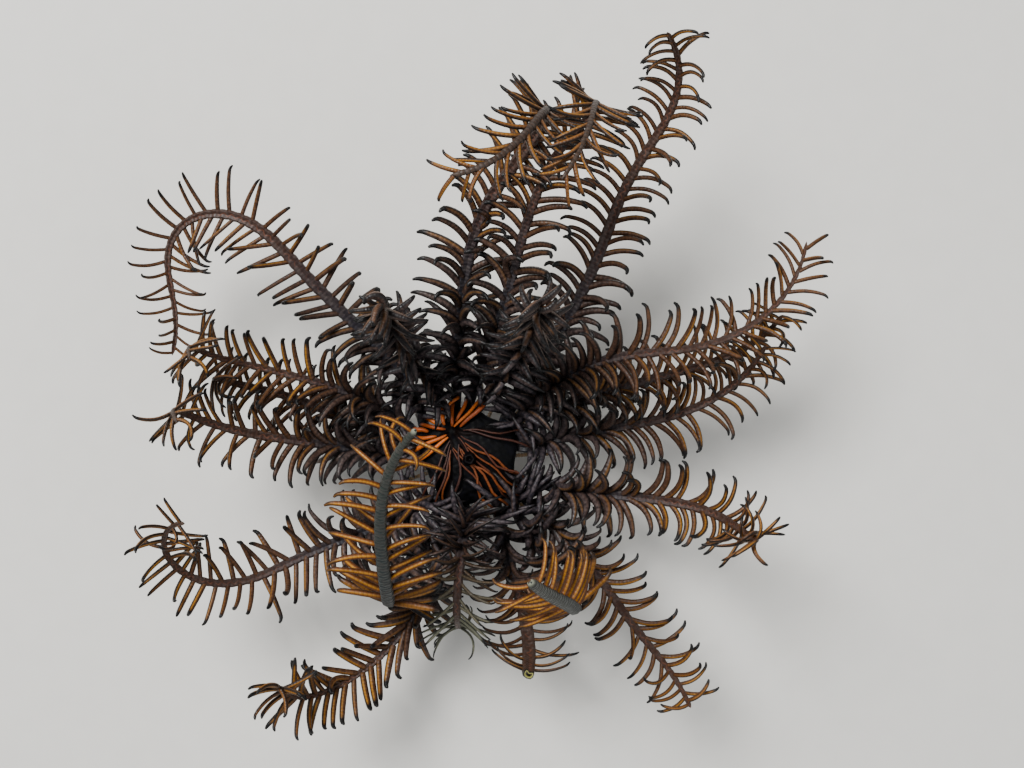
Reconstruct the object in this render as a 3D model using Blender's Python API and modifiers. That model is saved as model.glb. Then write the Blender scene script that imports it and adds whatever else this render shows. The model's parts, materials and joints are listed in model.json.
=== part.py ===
"""Comatella feather star, life size, standing on its cirri with the arms spread and curled.

Sizes are in millimetres and turned into metres where a mesh is made. The crown's axis is x = y = 0
while the parts are made, and all are moved together at the end so that the whole is centred.
"""
import math

import bmesh
import bpy
import numpy as np

MM = 0.001
NAME = "feather_star"
GAP = 0.3            # space kept where two parts meet face to face
CLEAR = 0.36         # space kept between a pinnule and everything else
WELD = 0.03          # points closer than this are one point
UP = np.array([0.0, 0.0, 1.0])

# Distances within which the points round a joined root are drawn together, the first that works
TIDY = (0.34, 0.32, 0.30, 0.28, 0.25, 0.22, 0.19, 0.16, 0.13, 0.1, 0.05)

# Arms
ROOT_R = 12.0        # distance of the arm roots from the crown's axis
ROOT_Z = 14.5        # height of the arm roots over the floor
ROOT_HALF = 1.15     # half width of an arm at its root
ARM_SWELL = 0.60     # extra half width part way along the arm
ARM_TAPER = 0.60     # half width lost toward the tip
ARM_POINT = 1.4      # length of the point that ends an arm
BROKEN = ("E1",)     # ends in a blunt stump

# An arm's cross-section in half widths: right and toward the oral side, which is grooved
ARM_SECTION = ((0.94, 0.66), (0.0, 0.50), (-0.94, 0.66), (-0.96, -0.55), (0.0, -0.94), (0.96, -0.55))
BEND = 24.0          # degrees that an arm may turn before its next section
REACH = 8.0          # longest space between two sections

# Crown: radial plates, forked rays, disc and anal cone
RAY_AZ = {"A": 30.0, "B": 98.0, "C": 165.0, "D": 246.0, "E": 318.0}
RADIAL_IN = 3.0      # from the axis to the flat faces of the radial plates
RADIAL_Z = (11.9, 14.9)
RAY_Z = 13.4         # height of a ray's trunk
FORK_1 = 6.4         # first axillary, from the axis
FORK_2 = 9.2         # second axillaries
FORK_2_SPREAD = 13.5
FORK_2_Z = 14.0
RAY_HALF = (1.75, 1.45, 1.12)     # half widths of the trunk, its forks and their branches
RAY_FLAT = 0.82      # depth of a ray over its width
DISC_R = 10.2
DISC_Z = (15.45, 18.6)
DISC_LOBE = 0.07     # how much further the disc reaches toward the rays
MOUTH_AT = (-3.9, 5.6)
MOUTH_R = 1.5
MOUTH_DEEP = 1.1
ANUS_R = 1.7
ANUS_TALL = 3.2

# Centrodorsal and cirri
CD_R = 2.9
CD_Z = (8.4, 11.6)
CIRRI = 14           # cirri that stand on the floor
CIRRI_FREE = 8       # shorter ones that curl clear of it
CIRRUS_HALF = 0.50
CIRRUS_ROOT = 1.7    # from the axis, inside the centrodorsal
CIRRUS_REACH = 13.4  # from the axis to the heel of a standing cirrus
FREE_REACH = 8.0     # the same for a free one
REACH_VARIES = 1.3
HEEL = 0.35          # from the heel to the flat of the foot
FOOT_END = 2.6       # from the heel to the end of the foot

# Pinnules: sizes by their place on the arm, 0 at its root and 1 at its tip
STEP = 2.1           # along the arm from one pinnule to the next, which is on the other side
PIN_LONG = ((0.0, 10.5), (0.12, 12.0), (0.45, 10.6), (0.8, 9.0), (0.93, 6.6), (1.0, 4.6))
PIN_HALF = ((0.0, 0.62), (0.4, 0.55), (1.0, 0.44))
PIN_LEAN = ((0.0, 52.0), (0.3, 60.0), (1.0, 58.0))     # degrees from the arm's own direction
PIN_RAISE = ((0.0, 52.0), (0.25, 34.0), (0.5, 20.0), (1.0, 14.0))  # degrees toward the oral side
KNEE = 0.42          # part of a pinnule's length before its bend
KNEE_HALF = 0.78     # half width at the bend over that at the root
MARGIN = 1.3         # length at each end of a piece of arm that carries no pinnule

# Each arm: azimuth of its root, length, headings and pitches at even stations from root to tip,
# roll at the tip, and where it is divided. A pitch past 90 turns the arm back over the crown.
ARMS = {
    "A1": (10, 60, (20, 10, 15, 40, 80), (20, 10, 10, 25, 70), 0, (0.5,)),
    "A2": (23, 64, (45, 20, 15, 25, 70), (25, 15, 5, 20, 70), 0, (0.5,)),
    "A3": (37, 80, (55, 30, 5, 35, 80), (40, 40, 10, -5, -10), 20, (0.5,)),
    "A4": (50, 92, (55, 60, 70, 60, 145), (15, 20, 15, 35, 60), 25, (0.5,)),
    "B1": (78, 62, (45, 55, 60, 75, 110), (50, 60, 70, 80, 85), 0, (0.5,)),
    "B2": (91, 106, (65, 70, 75, 65, 40, 75, 55), (40, 35, 30, 35, 60, 125, 165), 0,
           (0.36, 0.6, 0.8)),
    "B3": (105, 108, (85, 85, 75, 50, 50, 55, 10), (40, 30, 30, 35, 75, 140, 180), 0,
           (0.36, 0.58, 0.79)),
    "B4": (118, 58, (115, 120, 115, 100, 80), (40, 60, 70, 80, 85), 0, (0.5,)),
    "C1": (145, 100, (100, 130, 135, 135, 190, 275, 255), (20, 25, 15, 10, -15, -15, -10), 30,
           (0.4, 0.68)),
    "C2": (158, 64, (130, 155, 165, 160, 110), (25, 35, 15, 45, 135), 0, (0.5,)),
    "C3": (172, 52, (155, 155, 160, 165, 145), (10, 10, 15, 45, 105), 0, (0.5,)),
    "C4": (185, 62, (160, 170, 170, 155, 125), (20, 25, 25, 40, 140), 0, (0.5,)),
    "D1": (226, 78, (210, 200, 200, 120, 0), (20, 15, 10, 45, 45), -30, (0.5,)),
    "D2": (239, 93, (240, 245, 270, 260, 225), (-5, 70, 125, 135, 135), 0, (0.3, 0.65)),
    "D3": (253, 70, (255, 245, 220, 175, 40), (0, 10, 20, 50, 75), 0, (0.5,)),
    "D4": (266, 42, (265, 265, 265, 270, 270), (70, 65, 25, -55, -85), 0, (0.5,)),
    "E1": (298, 43, (280, 285, 285, 270, 245), (5, 0, 15, 55, 100), 0, (0.5,)),
    "E2": (311, 82, (305, 305, 300, 315, 310), (0, 50, 100, 110, 115), 0, (0.32, 0.66)),
    "E3": (325, 60, (315, 315, 305, 310, 290), (10, 15, 10, 20, 75), 0, (0.5,)),
    "E4": (338, 69, (345, 355, 350, 320, 305), (25, 20, 25, 75, 100), 0, (0.5,)),
}
LENGTH_NAMES = ("base", "middle", "bend")     # then "tip" for the last

COLOURS = {
    "arm": (0.075, 0.045, 0.032, 1), "ray": (0.035, 0.032, 0.04, 1), "disc": (0.012, 0.012, 0.022, 1),
    "anal_cone": (0.03, 0.02, 0.03, 1), "radials": (0.05, 0.045, 0.045, 1),
    "centrodorsal": (0.16, 0.12, 0.07, 1),
}
ROUGH = 0.6


def along(table, u):
    """A size read off its table at u."""
    return float(np.interp(u, [t[0] for t in table], [t[1] for t in table]))


def keyed(keys, u):
    """A smooth curve through evenly spaced keys."""
    k = np.asarray(keys, float)
    n = len(k) - 1
    x = np.clip(u, 0, 1) * n
    i = np.minimum(x.astype(int), n - 1)
    t = x - i
    kk = np.concatenate([[2 * k[0] - k[1]], k, [2 * k[-1] - k[-2]]])
    a, b, c, d = kk[i], kk[i + 1], kk[i + 2], kk[i + 3]
    return 0.5 * (2 * b + (c - a) * t + (2 * a - 5 * b + 4 * c - d) * t * t
                  + (3 * b - a - 3 * c + d) * t ** 3)


def unit(v):
    return v / np.linalg.norm(v)


def polar(r, degrees, z):
    a = math.radians(degrees)
    return np.array([r * math.cos(a), r * math.sin(a), z])


def arm_half(u):
    return ROOT_HALF + ARM_SWELL * u * (1 - u) - ARM_TAPER * u * u


class Line:
    """An arm's centre line, with its direction, oral side and right side at every station."""

    def __init__(self, name):
        azimuth, self.length, heads, pitches, roll, self.cuts = ARMS[name]
        n = int(self.length * 4)
        self.step = self.length / n
        u = np.linspace(0, 1, n + 1)
        middle = (u[1:] + u[:-1]) / 2
        h, p = np.radians(keyed(heads, middle)), np.radians(keyed(pitches, middle))
        move = np.stack([np.cos(h) * np.cos(p), np.sin(h) * np.cos(p), np.sin(p)], 1) * self.step
        self.at = polar(ROOT_R, azimuth, ROOT_Z) + np.concatenate([[[0, 0, 0]], np.cumsum(move, 0)])
        h, p = np.radians(keyed(heads, u)), np.radians(keyed(pitches, u))
        self.fore = np.stack([np.cos(h) * np.cos(p), np.sin(h) * np.cos(p), np.sin(p)], 1)
        up = np.stack([-np.cos(h) * np.sin(p), -np.sin(h) * np.sin(p), np.cos(p)], 1)
        right = np.cross(self.fore, up)
        r = np.radians(roll * u * u)[:, None]
        self.up = up * np.cos(r) - right * np.sin(r)
        self.right = right * np.cos(r) + up * np.sin(r)

    def frame(self, s):
        """Place, direction, oral side, right side and half width at s millimetres from the root."""
        x = min(max(s / self.step, 0), len(self.at) - 1)
        i = min(int(x), len(self.at) - 2)
        t = x - i
        mix = [a[i] * (1 - t) + a[i + 1] * t for a in (self.at, self.fore, self.up, self.right)]
        return mix[0], unit(mix[1]), unit(mix[2]), unit(mix[3]), arm_half(s / self.length)

    def stations(self, first, last):
        """Stations for the sections, closer together where the arm bends."""
        out, d0 = [first], self.frame(first)[1]
        s = first
        while s < last:
            s += self.step
            d = self.frame(s)[1]
            turned = math.degrees(math.acos(min(1.0, float(d @ d0))))
            if s - out[-1] > REACH or turned > BEND:
                if last - s < REACH * 0.3:
                    break
                out.append(s)
                d0 = d
        out.append(last)
        return out


def new_object(name, me, collection):
    """An object for a mesh, with its faces turned outward and cut into triangles."""
    bm = bmesh.new()
    bm.from_mesh(me)
    bmesh.ops.remove_doubles(bm, verts=bm.verts, dist=WELD * MM)
    bmesh.ops.recalc_face_normals(bm, faces=bm.faces)
    if bm.calc_volume(signed=True) < 0:
        bmesh.ops.reverse_faces(bm, faces=bm.faces)
    bmesh.ops.triangulate(bm, faces=bm.faces)
    bm.to_mesh(me)
    bm.free()
    me.name = name
    ob = bpy.data.objects.new(name, me)
    collection.objects.link(ob)
    return ob


def as_mesh(ob):
    """The evaluated mesh of a curve or of an object with modifiers, which is then removed."""
    graph = bpy.context.evaluated_depsgraph_get()
    me = bpy.data.meshes.new_from_object(ob.evaluated_get(graph))
    me.transform(ob.matrix_world)
    bpy.data.objects.remove(ob)
    return me


def section(name, points):
    """A flat closed outline, in half widths, that a curve carries along as its cross-section."""
    data = bpy.data.curves.new(name, "CURVE")
    data.dimensions = "2D"
    data.fill_mode = "NONE"
    spline = data.splines.new("POLY")
    spline.points.add(len(points) - 1)
    spline.use_cyclic_u = True
    for point, (x, y) in zip(spline.points, points):
        point.co = (x, y, 0, 1)
    ob = bpy.data.objects.new(name, data)
    ob.hide_render = True
    ob.display_type = "WIRE"
    bpy.context.scene.collection.objects.link(ob)
    return ob


def rod(name, points, halves, outline, ridge=UP):
    """A curve through points with filled ends, as thick at each point as its half width.

    Its cross-section is tilted so that the section's own +Y faces the ridge direction.
    """
    data = bpy.data.curves.new(name, "CURVE")
    data.dimensions = "3D"
    data.twist_mode = "Z_UP"
    data.bevel_mode = "OBJECT"
    data.bevel_object = outline
    data.use_fill_caps = True
    spline = data.splines.new("POLY")
    spline.points.add(len(points) - 1)
    for i, (point, p, half) in enumerate(zip(spline.points, points, halves)):
        point.co = (*(float(c) * MM for c in p), 1)
        point.radius = half * MM
        before = unit(p - points[i - 1]) if i else 0
        after = unit(points[i + 1] - p) if i < len(points) - 1 else 0
        d = unit(before + after)
        level = np.cross(UP - d * (UP @ d), ridge)
        point.tilt = math.atan2(float(level @ d), float((UP - d * (UP @ d)) @ ridge))
    ob = bpy.data.objects.new(name, data)
    bpy.context.scene.collection.objects.link(ob)
    return ob


def loft(name, rings, tip=None):
    """A mesh through unlike sections, ending in a point where tip is given."""
    sides = len(rings[0])
    verts = [v for r in rings for v in r]
    faces = [tuple(reversed(range(sides)))]
    for i in range(len(rings) - 1):
        for j in range(sides):
            k = (j + 1) % sides
            a, b = i * sides, (i + 1) * sides
            faces.append((a + j, a + k, b + k, b + j))
    last = (len(rings) - 1) * sides
    if tip is None:
        faces.append(tuple(range(last, last + sides)))
    else:
        verts.append(tip)
        faces += [(last + j, last + (j + 1) % sides, len(verts) - 1) for j in range(sides)]
    me = bpy.data.meshes.new(name)
    me.from_pydata([tuple(float(c) * MM for c in v) for v in verts], [], faces)
    return me


def turned(name, profile, sides):
    """A mesh turned about the z axis from (radius, height) pairs, from the top down."""
    me = bpy.data.meshes.new(name + "_profile")
    points = [(r * MM, 0, z * MM) for r, z in profile]
    me.from_pydata(points, [(i, i + 1) for i in range(len(points) - 1)], [])
    ob = bpy.data.objects.new(name + "_profile", me)
    bpy.context.scene.collection.objects.link(ob)
    screw = ob.modifiers.new("turn", "SCREW")
    screw.steps = sides
    screw.render_steps = sides
    screw.use_merge_vertices = True
    screw.merge_threshold = 0.00001
    bpy.context.view_layer.update()
    return as_mesh(ob)


def keep_largest(me):
    """Leaves the largest closed surface of a mesh, in triangles."""
    bm = bmesh.new()
    bm.from_mesh(me)
    bmesh.ops.triangulate(bm, faces=bm.faces)
    bmesh.ops.dissolve_degenerate(bm, dist=2e-6, edges=bm.edges)
    bmesh.ops.triangulate(bm, faces=bm.faces)
    left, best = set(bm.faces), []
    while left:
        seed = [left.pop()]
        group = []
        while seed:
            f = seed.pop()
            group.append(f)
            for e in f.edges:
                for g in e.link_faces:
                    if g in left:
                        left.discard(g)
                        seed.append(g)
        if sum(f.calc_area() for f in group) > sum(f.calc_area() for f in best):
            best = group
    keep = set(best)
    bmesh.ops.delete(bm, geom=[f for f in bm.faces if f not in keep], context="FACES")
    bmesh.ops.delete(bm, geom=[v for v in bm.verts if not v.link_faces], context="VERTS")
    bm.to_mesh(me)
    bm.free()


def closed(bm):
    """True for one closed surface with no doubled face, edge or vertex fan."""
    if any(len(e.link_faces) != 2 or not e.is_contiguous for e in bm.edges):
        return False
    for v in bm.verts:
        faces = set(v.link_faces)
        if not faces:
            return False
        seed = [faces.pop()]
        while seed:
            f = seed.pop()
            for e in f.edges:
                if v in e.verts:
                    for g in e.link_faces:
                        if g in faces:
                            faces.discard(g)
                            seed.append(g)
        if faces:
            return False
    return len({frozenset(v.index for v in f.verts) for f in bm.faces}) == len(bm.faces)


def tidy_roots(me, near):
    """Draws together the points closer than near, which a union leaves round each root."""
    bm = bmesh.new()
    bm.from_mesh(me)
    bmesh.ops.remove_doubles(bm, verts=bm.verts, dist=near * MM)
    bmesh.ops.dissolve_degenerate(bm, dist=2e-6, edges=bm.edges)
    bmesh.ops.triangulate(bm, faces=bm.faces)
    bm.verts.index_update()
    good = closed(bm)
    if good:
        bm.to_mesh(me)
    bm.free()
    return good


def join(base, pieces):
    """Unites a closed object with the closed pieces that grow from it, given as meshes."""
    group = bpy.data.collections.new(base.name + "_pieces")
    bpy.context.scene.collection.children.link(group)
    for i, me in enumerate(pieces):
        new_object("%s_piece_%03d" % (base.name, i), me, group)
    union = base.modifiers.new("join", "BOOLEAN")
    union.operation = "UNION"
    union.operand_type = "COLLECTION"
    union.collection = group
    union.solver = "MANIFOLD"
    bpy.context.view_layer.update()
    me = bpy.data.meshes.new_from_object(base.evaluated_get(bpy.context.evaluated_depsgraph_get()))
    base.modifiers.remove(union)
    base.data = me
    me.name = base.name
    for ob in list(group.objects):
        bpy.data.meshes.remove(ob.data)
    bpy.data.collections.remove(group)
    keep_largest(me)
    for near in TIDY:
        if tidy_roots(me, near):
            break
    keep_largest(me)


class Space:
    """What is already in place, as balls, so that a new pinnule can be bent clear of it."""

    def __init__(self):
        self.at, self.half, self.node, self.s = [], [], [], []
        self.packed = None

    def add(self, points, halves, node, stations=None):
        self.at += list(points)
        self.half += list(halves)
        self.node += [node] * len(points)
        self.s += list(stations) if stations is not None else [-1e6] * len(points)
        self.packed = None

    def add_rod(self, a, b, half, node, apart=0.8):
        n = max(2, int(np.linalg.norm(b - a) / apart))
        self.add([a + (b - a) * i / n for i in range(n + 1)], [half] * (n + 1), node)

    def free(self, points, halves, node, s):
        """True where points keep CLEAR from all but the stretch of arm that they grow from."""
        if self.packed is None:
            self.packed = [np.array(a) for a in (self.at, self.half, self.node, self.s)]
        at, half, nodes, stations = self.packed
        if points[:, 2].min() < CIRRUS_HALF * 2.4:
            return False
        near = np.linalg.norm(at - points.mean(0), axis=1) < PIN_LONG[1][1]
        own = near & (nodes == node) & (np.abs(stations - s) < STEP * 3.4)
        rest = near & ~own
        d = np.linalg.norm(points[:, None] - at[rest][None], axis=2) - half[rest][None]
        return d.size == 0 or float((d - halves[:, None]).min()) > CLEAR


# Centrodorsal and cirri

def cirrus_path(k, free):
    """A cirrus's points, out from the centrodorsal, arched and down to the floor, and its ridge."""
    total = CIRRI_FREE if free else CIRRI
    azimuth = 360.0 * (k + 0.5 * free) / total + 9 * math.sin(2.3 * k + free)
    reach = (FREE_REACH if free else CIRRUS_REACH) + REACH_VARIES * math.sin(1.7 * k + 0.6)
    z = CD_Z[0] + (2.2 if free else 1.1) + 0.25 * math.sin(3.1 * k)
    if free:
        path = ((CIRRUS_ROOT, z), (CIRRUS_ROOT + 3.4, z + 0.7), (reach, 7.6), (reach + 1.8, 4.4),
                (reach + 0.6, 2.3))
    else:
        path = ((CIRRUS_ROOT, z), (CIRRUS_ROOT + 3.8, z + 0.5), (reach - 3.4, 5.2),
                (reach - 1.4, 1.6), (reach, CIRRUS_HALF), (reach + HEEL, CIRRUS_HALF),
                (reach + FOOT_END, CIRRUS_HALF))
    return [polar(r, azimuth, height) for r, height in path], polar(1, azimuth, 1)


def make_centrodorsal(whole, space):
    """The button under the crown, and the cirri that it stands on."""
    low, high = CD_Z
    profile = ((0, high), (CD_R * 0.9, high), (CD_R, high - 0.4), (CD_R, low + 1.7),
               (CD_R * 0.85, low + 0.7), (CD_R * 0.55, low + 0.1), (0, low))
    base = new_object("centrodorsal", turned("centrodorsal", profile, 14), whole)
    square = section("cirrus_section", ((1, 1), (-1, 1), (-1, -1), (1, -1)))
    rods = []
    for k, free in [(k, 0) for k in range(CIRRI)] + [(k, 1) for k in range(CIRRI_FREE)]:
        path, ridge = cirrus_path(k, free)
        rods.append(rod("cirrus", path, [CIRRUS_HALF] * len(path), square, ridge))
        for a, b in zip(path[:-1], path[1:]):
            space.add_rod(a, b, CIRRUS_HALF * 1.5, "cirri")
    bpy.context.view_layer.update()
    join(base, [as_mesh(ob) for ob in rods])
    bpy.data.objects.remove(square)


# Crown

def make_radials(whole):
    """The ring of radial plates, one flat face toward each ray."""
    azimuths = sorted(RAY_AZ.values())
    data = bpy.data.curves.new("radials", "CURVE")
    data.dimensions = "2D"
    data.fill_mode = "BOTH"
    data.extrude = (RADIAL_Z[1] - RADIAL_Z[0]) / 2 * MM
    spline = data.splines.new("POLY")
    spline.points.add(len(azimuths) - 1)
    spline.use_cyclic_u = True
    for i, a in enumerate(azimuths):
        b = azimuths[(i + 1) % 5] + (360 if i == 4 else 0)
        corner = polar(RADIAL_IN / math.cos(math.radians((b - a) / 2)), (a + b) / 2, 0) * MM
        spline.points[i].co = (corner[0], corner[1], 0, 1)
    ob = bpy.data.objects.new("radials_outline", data)
    ob.location.z = sum(RADIAL_Z) / 2 * MM
    bpy.context.scene.collection.objects.link(ob)
    bpy.context.view_layer.update()
    new_object("radials", as_mesh(ob), whole)


def shape_disc(me):
    """Gives the disc its lobes toward the rays and the hollow of its mouth."""
    for v in me.vertices:
        x, y, z = (c / MM for c in v.co)
        around = math.degrees(math.atan2(y, x))
        near = min(abs((around - azimuth + 180) % 360 - 180) for azimuth in RAY_AZ.values())
        grow = 1 + DISC_LOBE * (math.hypot(x, y) / DISC_R) ** 2 * math.cos(math.radians(near * 5))
        x, y = x * grow, y * grow
        if z > DISC_Z[0] + 0.7:
            far = math.hypot(x - MOUTH_AT[0], y - MOUTH_AT[1]) / MOUTH_R
            z -= MOUTH_DEEP * math.exp(-far * far)
        v.co = (x * MM, y * MM, z * MM)


def make_disc(whole, space):
    """The soft disc with its excentric mouth, and the anal cone on it."""
    low, top = DISC_Z
    profile = ((0, top), (2.3, top), (DISC_R * 0.46, low + 2.8), (DISC_R * 0.64, low + 2.45),
               (DISC_R * 0.8, low + 2.0), (DISC_R * 0.93, low + 1.5), (DISC_R, low + 0.9),
               (DISC_R * 0.97, low + 0.35), (DISC_R * 0.86, low), (DISC_R * 0.45, low), (0, low))
    me = turned("disc", profile, 30)
    shape_disc(me)
    new_object("disc", me, whole)
    foot = top + GAP
    tall = top + ANUS_TALL
    cone = ((0, tall - 0.5), (ANUS_R * 0.22, tall), (ANUS_R * 0.5, tall), (ANUS_R * 0.6, top + 2.1),
            (ANUS_R * 0.86, top + 1.1), (ANUS_R, foot), (0, foot))
    new_object("anal_cone", turned("anal_cone", cone, 12), whole)
    for r in np.arange(0, DISC_R + 0.6, 0.8):
        z = low + 3.3 * math.sqrt(max(0.06, 1 - (r / (DISC_R * 1.08)) ** 2)) - 0.55
        for t in np.arange(0, 360, 45 / max(r, 0.8)):
            space.add([polar(r, t, z)], [0.75], "disc")


def stub(name, start, line, half):
    """The branch from a fork to an arm's root, from a hexagon to the arm's own section."""
    centre, fore, up, right, root_half = line.frame(0)
    end = centre - fore * GAP * 0.5
    d = unit(end - start)
    side = unit(np.cross(d, UP))
    top = np.cross(side, d)
    rings = []
    for part, width in ((0.0, 0.8), (0.55, 1.0)):
        p = start * (1 - part) + end * part
        rings.append([p + half * width * (math.cos(a) * side + math.sin(a) * RAY_FLAT * top)
                      for a in np.radians(30 + 60 * np.arange(6))])
    rings.append(arm_ring(end, up, right, root_half))
    return loft(name, rings), end


def make_ray(letter, lines, whole, space):
    """A ray: its trunk, two forks, and a branch for each arm."""
    azimuth = RAY_AZ[letter]
    oval = section("ray_section", [(math.cos(a), RAY_FLAT * math.sin(a))
                                   for a in np.radians(22.5 + 45 * np.arange(8))])
    h0, h1, h2 = RAY_HALF
    trunk = [polar(RADIAL_IN + GAP, azimuth, RAY_Z), polar(FORK_1, azimuth, RAY_Z),
             polar(FORK_1 + 1.0, azimuth, RAY_Z)]
    rods = [rod("trunk", trunk, (h0, h0 * 1.05, h0 * 0.7), oval)]
    branches = []
    for sign in (-1, 1):
        fork = polar(FORK_2, azimuth + sign * FORK_2_SPREAD, FORK_2_Z)
        d = unit(fork - trunk[1])
        rods.append(rod("fork", (trunk[1] - d * 0.5, trunk[1] + d * 0.8, fork, fork + d * 0.7),
                        (h1 * 0.8, h1, h1, h1 * 0.7), oval))
        space.add_rod(trunk[1], fork, 1.5, "rays")
        for name in lines:
            if name[0] == letter and (ARMS[name][0] - azimuth) * sign > 0:
                root = lines[name].at[0]
                start = fork - unit(root - fork) * 0.3
                me, end = stub(name + "_branch", start, lines[name], h2)
                branches.append(me)
                space.add_rod(start, end, h2, "rays")
    bpy.context.view_layer.update()
    meshes = [as_mesh(ob) for ob in rods]
    join(new_object("ray_" + letter, meshes[0], whole), meshes[1:] + branches)
    bpy.data.objects.remove(oval)


# Arms and pinnules

def arm_ring(centre, up, right, half):
    return [centre + half * (x * right + y * up) for x, y in ARM_SECTION]


def pinnule_path(line, s, side, raise_by, lean_by, shorter):
    """Root, bend and tip of the pinnule at s, on the right (1) or the left (-1) of its arm."""
    u = s / line.length
    centre, fore, up, right, half = line.frame(s)
    out = right * side
    length = along(PIN_LONG, u) * shorter
    lean = math.radians(along(PIN_LEAN, u) + lean_by)
    lift = math.radians(along(PIN_RAISE, u) + raise_by)
    low = min(max(lift * 0.6, math.radians(-20)), math.radians(24))
    away = math.cos(low) * out + math.sin(low) * up
    d0 = math.cos(lean) * fore + math.sin(lean) * away
    lean -= math.radians(24 if lean_by > -20 else 8)
    lift += (lift - low) * 0.5
    away = math.cos(lift) * out + math.sin(lift) * up
    d1 = math.cos(lean) * fore + math.sin(lean) * away
    root = centre + out * half * 0.3 - fore * half * 0.4 - up * half * 0.22
    knee = root + d0 * (half + length * KNEE)
    return root, knee, knee + d1 * length * (0.97 - KNEE)


def pinnule_balls(path, half):
    """Balls along a pinnule, from just outside its root."""
    points, halves = [], []
    widths = (half, half * KNEE_HALF, 0.05)
    for i in (0, 1):
        n = max(2, int(np.linalg.norm(path[i + 1] - path[i]) / 0.7))
        for k in range(1, n + 1):
            t = k / n
            points.append(path[i] * (1 - t) + path[i + 1] * t)
            halves.append(widths[i] * (1 - t) + widths[i + 1] * t)
    return np.array(points[1:]), np.array(halves[1:])


def bends():
    """The ways a pinnule may be shortened, lifted and leaned, the least changed first."""
    ways = [(shorter, lift, lean) for shorter in (1.0, 0.8, 0.62)
            for lift in (0, 10, -10, 20, -20, 32, 45, -35, 60) for lean in (0, -14, 12, -26)]
    return sorted(ways, key=lambda w: (1 - w[0]) * 60 + abs(w[1]) * 0.6 + abs(w[2]) * 0.8)


def arm_lengths(lines, space):
    """The lengths that each arm is divided into, and their balls in space."""
    lengths = []
    for name, line in lines.items():
        cuts = [0.0] + [f * line.length for f in line.cuts] + [line.length]
        words = LENGTH_NAMES[:len(cuts) - 2] + ("tip",)
        stations = np.arange(0, line.length, 0.8)
        for i, word in enumerate(words):
            first = cuts[i] + GAP / 2
            last = cuts[i + 1] - (GAP / 2 if word != "tip" else 0)
            node = "arm_%s_%s" % (name, word)
            mine = [s for s in stations if first - GAP <= s <= last + GAP]
            frames = [line.frame(s) for s in mine]
            space.add([f[0] for f in frames], [f[4] for f in frames], node, mine)
            lengths.append((node, line, first, last))
    return lengths


def place_pinnules(node, line, first, last, space):
    """The pinnules of one length, on alternate sides, each bent clear of all before it."""
    end = last - (1.0 if node.endswith("tip") else MARGIN)
    outline = bpy.data.objects["pinnule_section"]
    rods, k = [], int((first + MARGIN) / STEP) + 1
    while k * STEP < end:
        s = k * STEP
        half = along(PIN_HALF, s / line.length)
        for shorter, lift, lean in bends():
            path = pinnule_path(line, s, 1 if k % 2 else -1, lift, lean, shorter)
            points, halves = pinnule_balls(path, half)
            if space.free(points, halves, node, s):
                space.add(points, halves, node + "_pinnule")
                rods.append(rod("pinnule", path, (half, half * KNEE_HALF, 0.01), outline,
                                line.frame(s)[2]))
                break
        k += 1
    return rods


def make_arms(lines, whole, space):
    """Every length of every arm with its pinnules."""
    ridge = section("pinnule_section", [(math.cos(a), math.sin(a))
                                        for a in np.radians(90 + 120 * np.arange(3))])
    lengths = arm_lengths(lines, space)
    rods = {node: place_pinnules(node, line, first, last, space)
            for node, line, first, last in lengths}
    bpy.context.view_layer.update()
    for node, line, first, last in lengths:
        pointed = node.endswith("tip") and node.split("_")[1] not in BROKEN
        end = last - ARM_POINT if pointed else last
        rings = []
        for s in line.stations(first, end):
            centre, fore, up, right, half = line.frame(s)
            rings.append(arm_ring(centre, up, right, half))
        tip = line.frame(last)[0] if pointed else None
        ob = new_object(node, loft(node, rings, tip), whole)
        join(ob, [as_mesh(pinnule) for pinnule in rods[node]])
    bpy.data.objects.remove(ridge)
    return sum(len(r) for r in rods.values())


# Finish

def paint(whole):
    """A material for each part."""
    for ob in whole.objects:
        kind = next(k for k in COLOURS if ob.name.startswith(k))
        mat = bpy.data.materials.new("mat_" + ob.name)
        mat.use_nodes = True
        shader = mat.node_tree.nodes["Principled BSDF"]
        shader.inputs["Base Color"].default_value = COLOURS[kind]
        shader.inputs["Roughness"].default_value = ROUGH
        ob.data.materials.clear()
        ob.data.materials.append(mat)


def centre(whole):
    """Moves all the parts so that the whole is centred and stands on the floor."""
    co = np.concatenate([np.array([v.co for v in ob.data.vertices]) for ob in whole.objects])
    low, high = co.min(0), co.max(0)
    shift = np.array([-(low[0] + high[0]) / 2, -(low[1] + high[1]) / 2, -low[2]])
    for ob in whole.objects:
        for v in ob.data.vertices:
            v.co = v.co + type(v.co)(shift)
        ob.data.update()
    return (high - low) / MM, shift / MM


def main():
    for ob in list(bpy.data.objects):
        bpy.data.objects.remove(ob)
    whole = bpy.data.collections.new(NAME)
    bpy.context.scene.collection.children.link(whole)
    space = Space()
    lines = {name: Line(name) for name in ARMS}
    make_radials(whole)
    make_centrodorsal(whole, space)
    make_disc(whole, space)
    for letter in RAY_AZ:
        make_ray(letter, lines, whole, space)
    pinnules = make_arms(lines, whole, space)
    paint(whole)
    size, shift = centre(whole)
    print("pinnules", pinnules, "size mm", size.round(2), "shift mm", shift.round(3),
          "triangles", sum(len(ob.data.polygons) for ob in whole.objects))


main()
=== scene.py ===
"""Dresses the solids of a Comatella feather star as the living animal, for a photo-like render.

The frame's solids give the place of the crown. The named sizes below are those of the solids, in
millimetres, about the crown's axis. Each arm gets a jointed skin and a fringe of pinnules.
"""
import functools
import json
import math
import random

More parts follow.
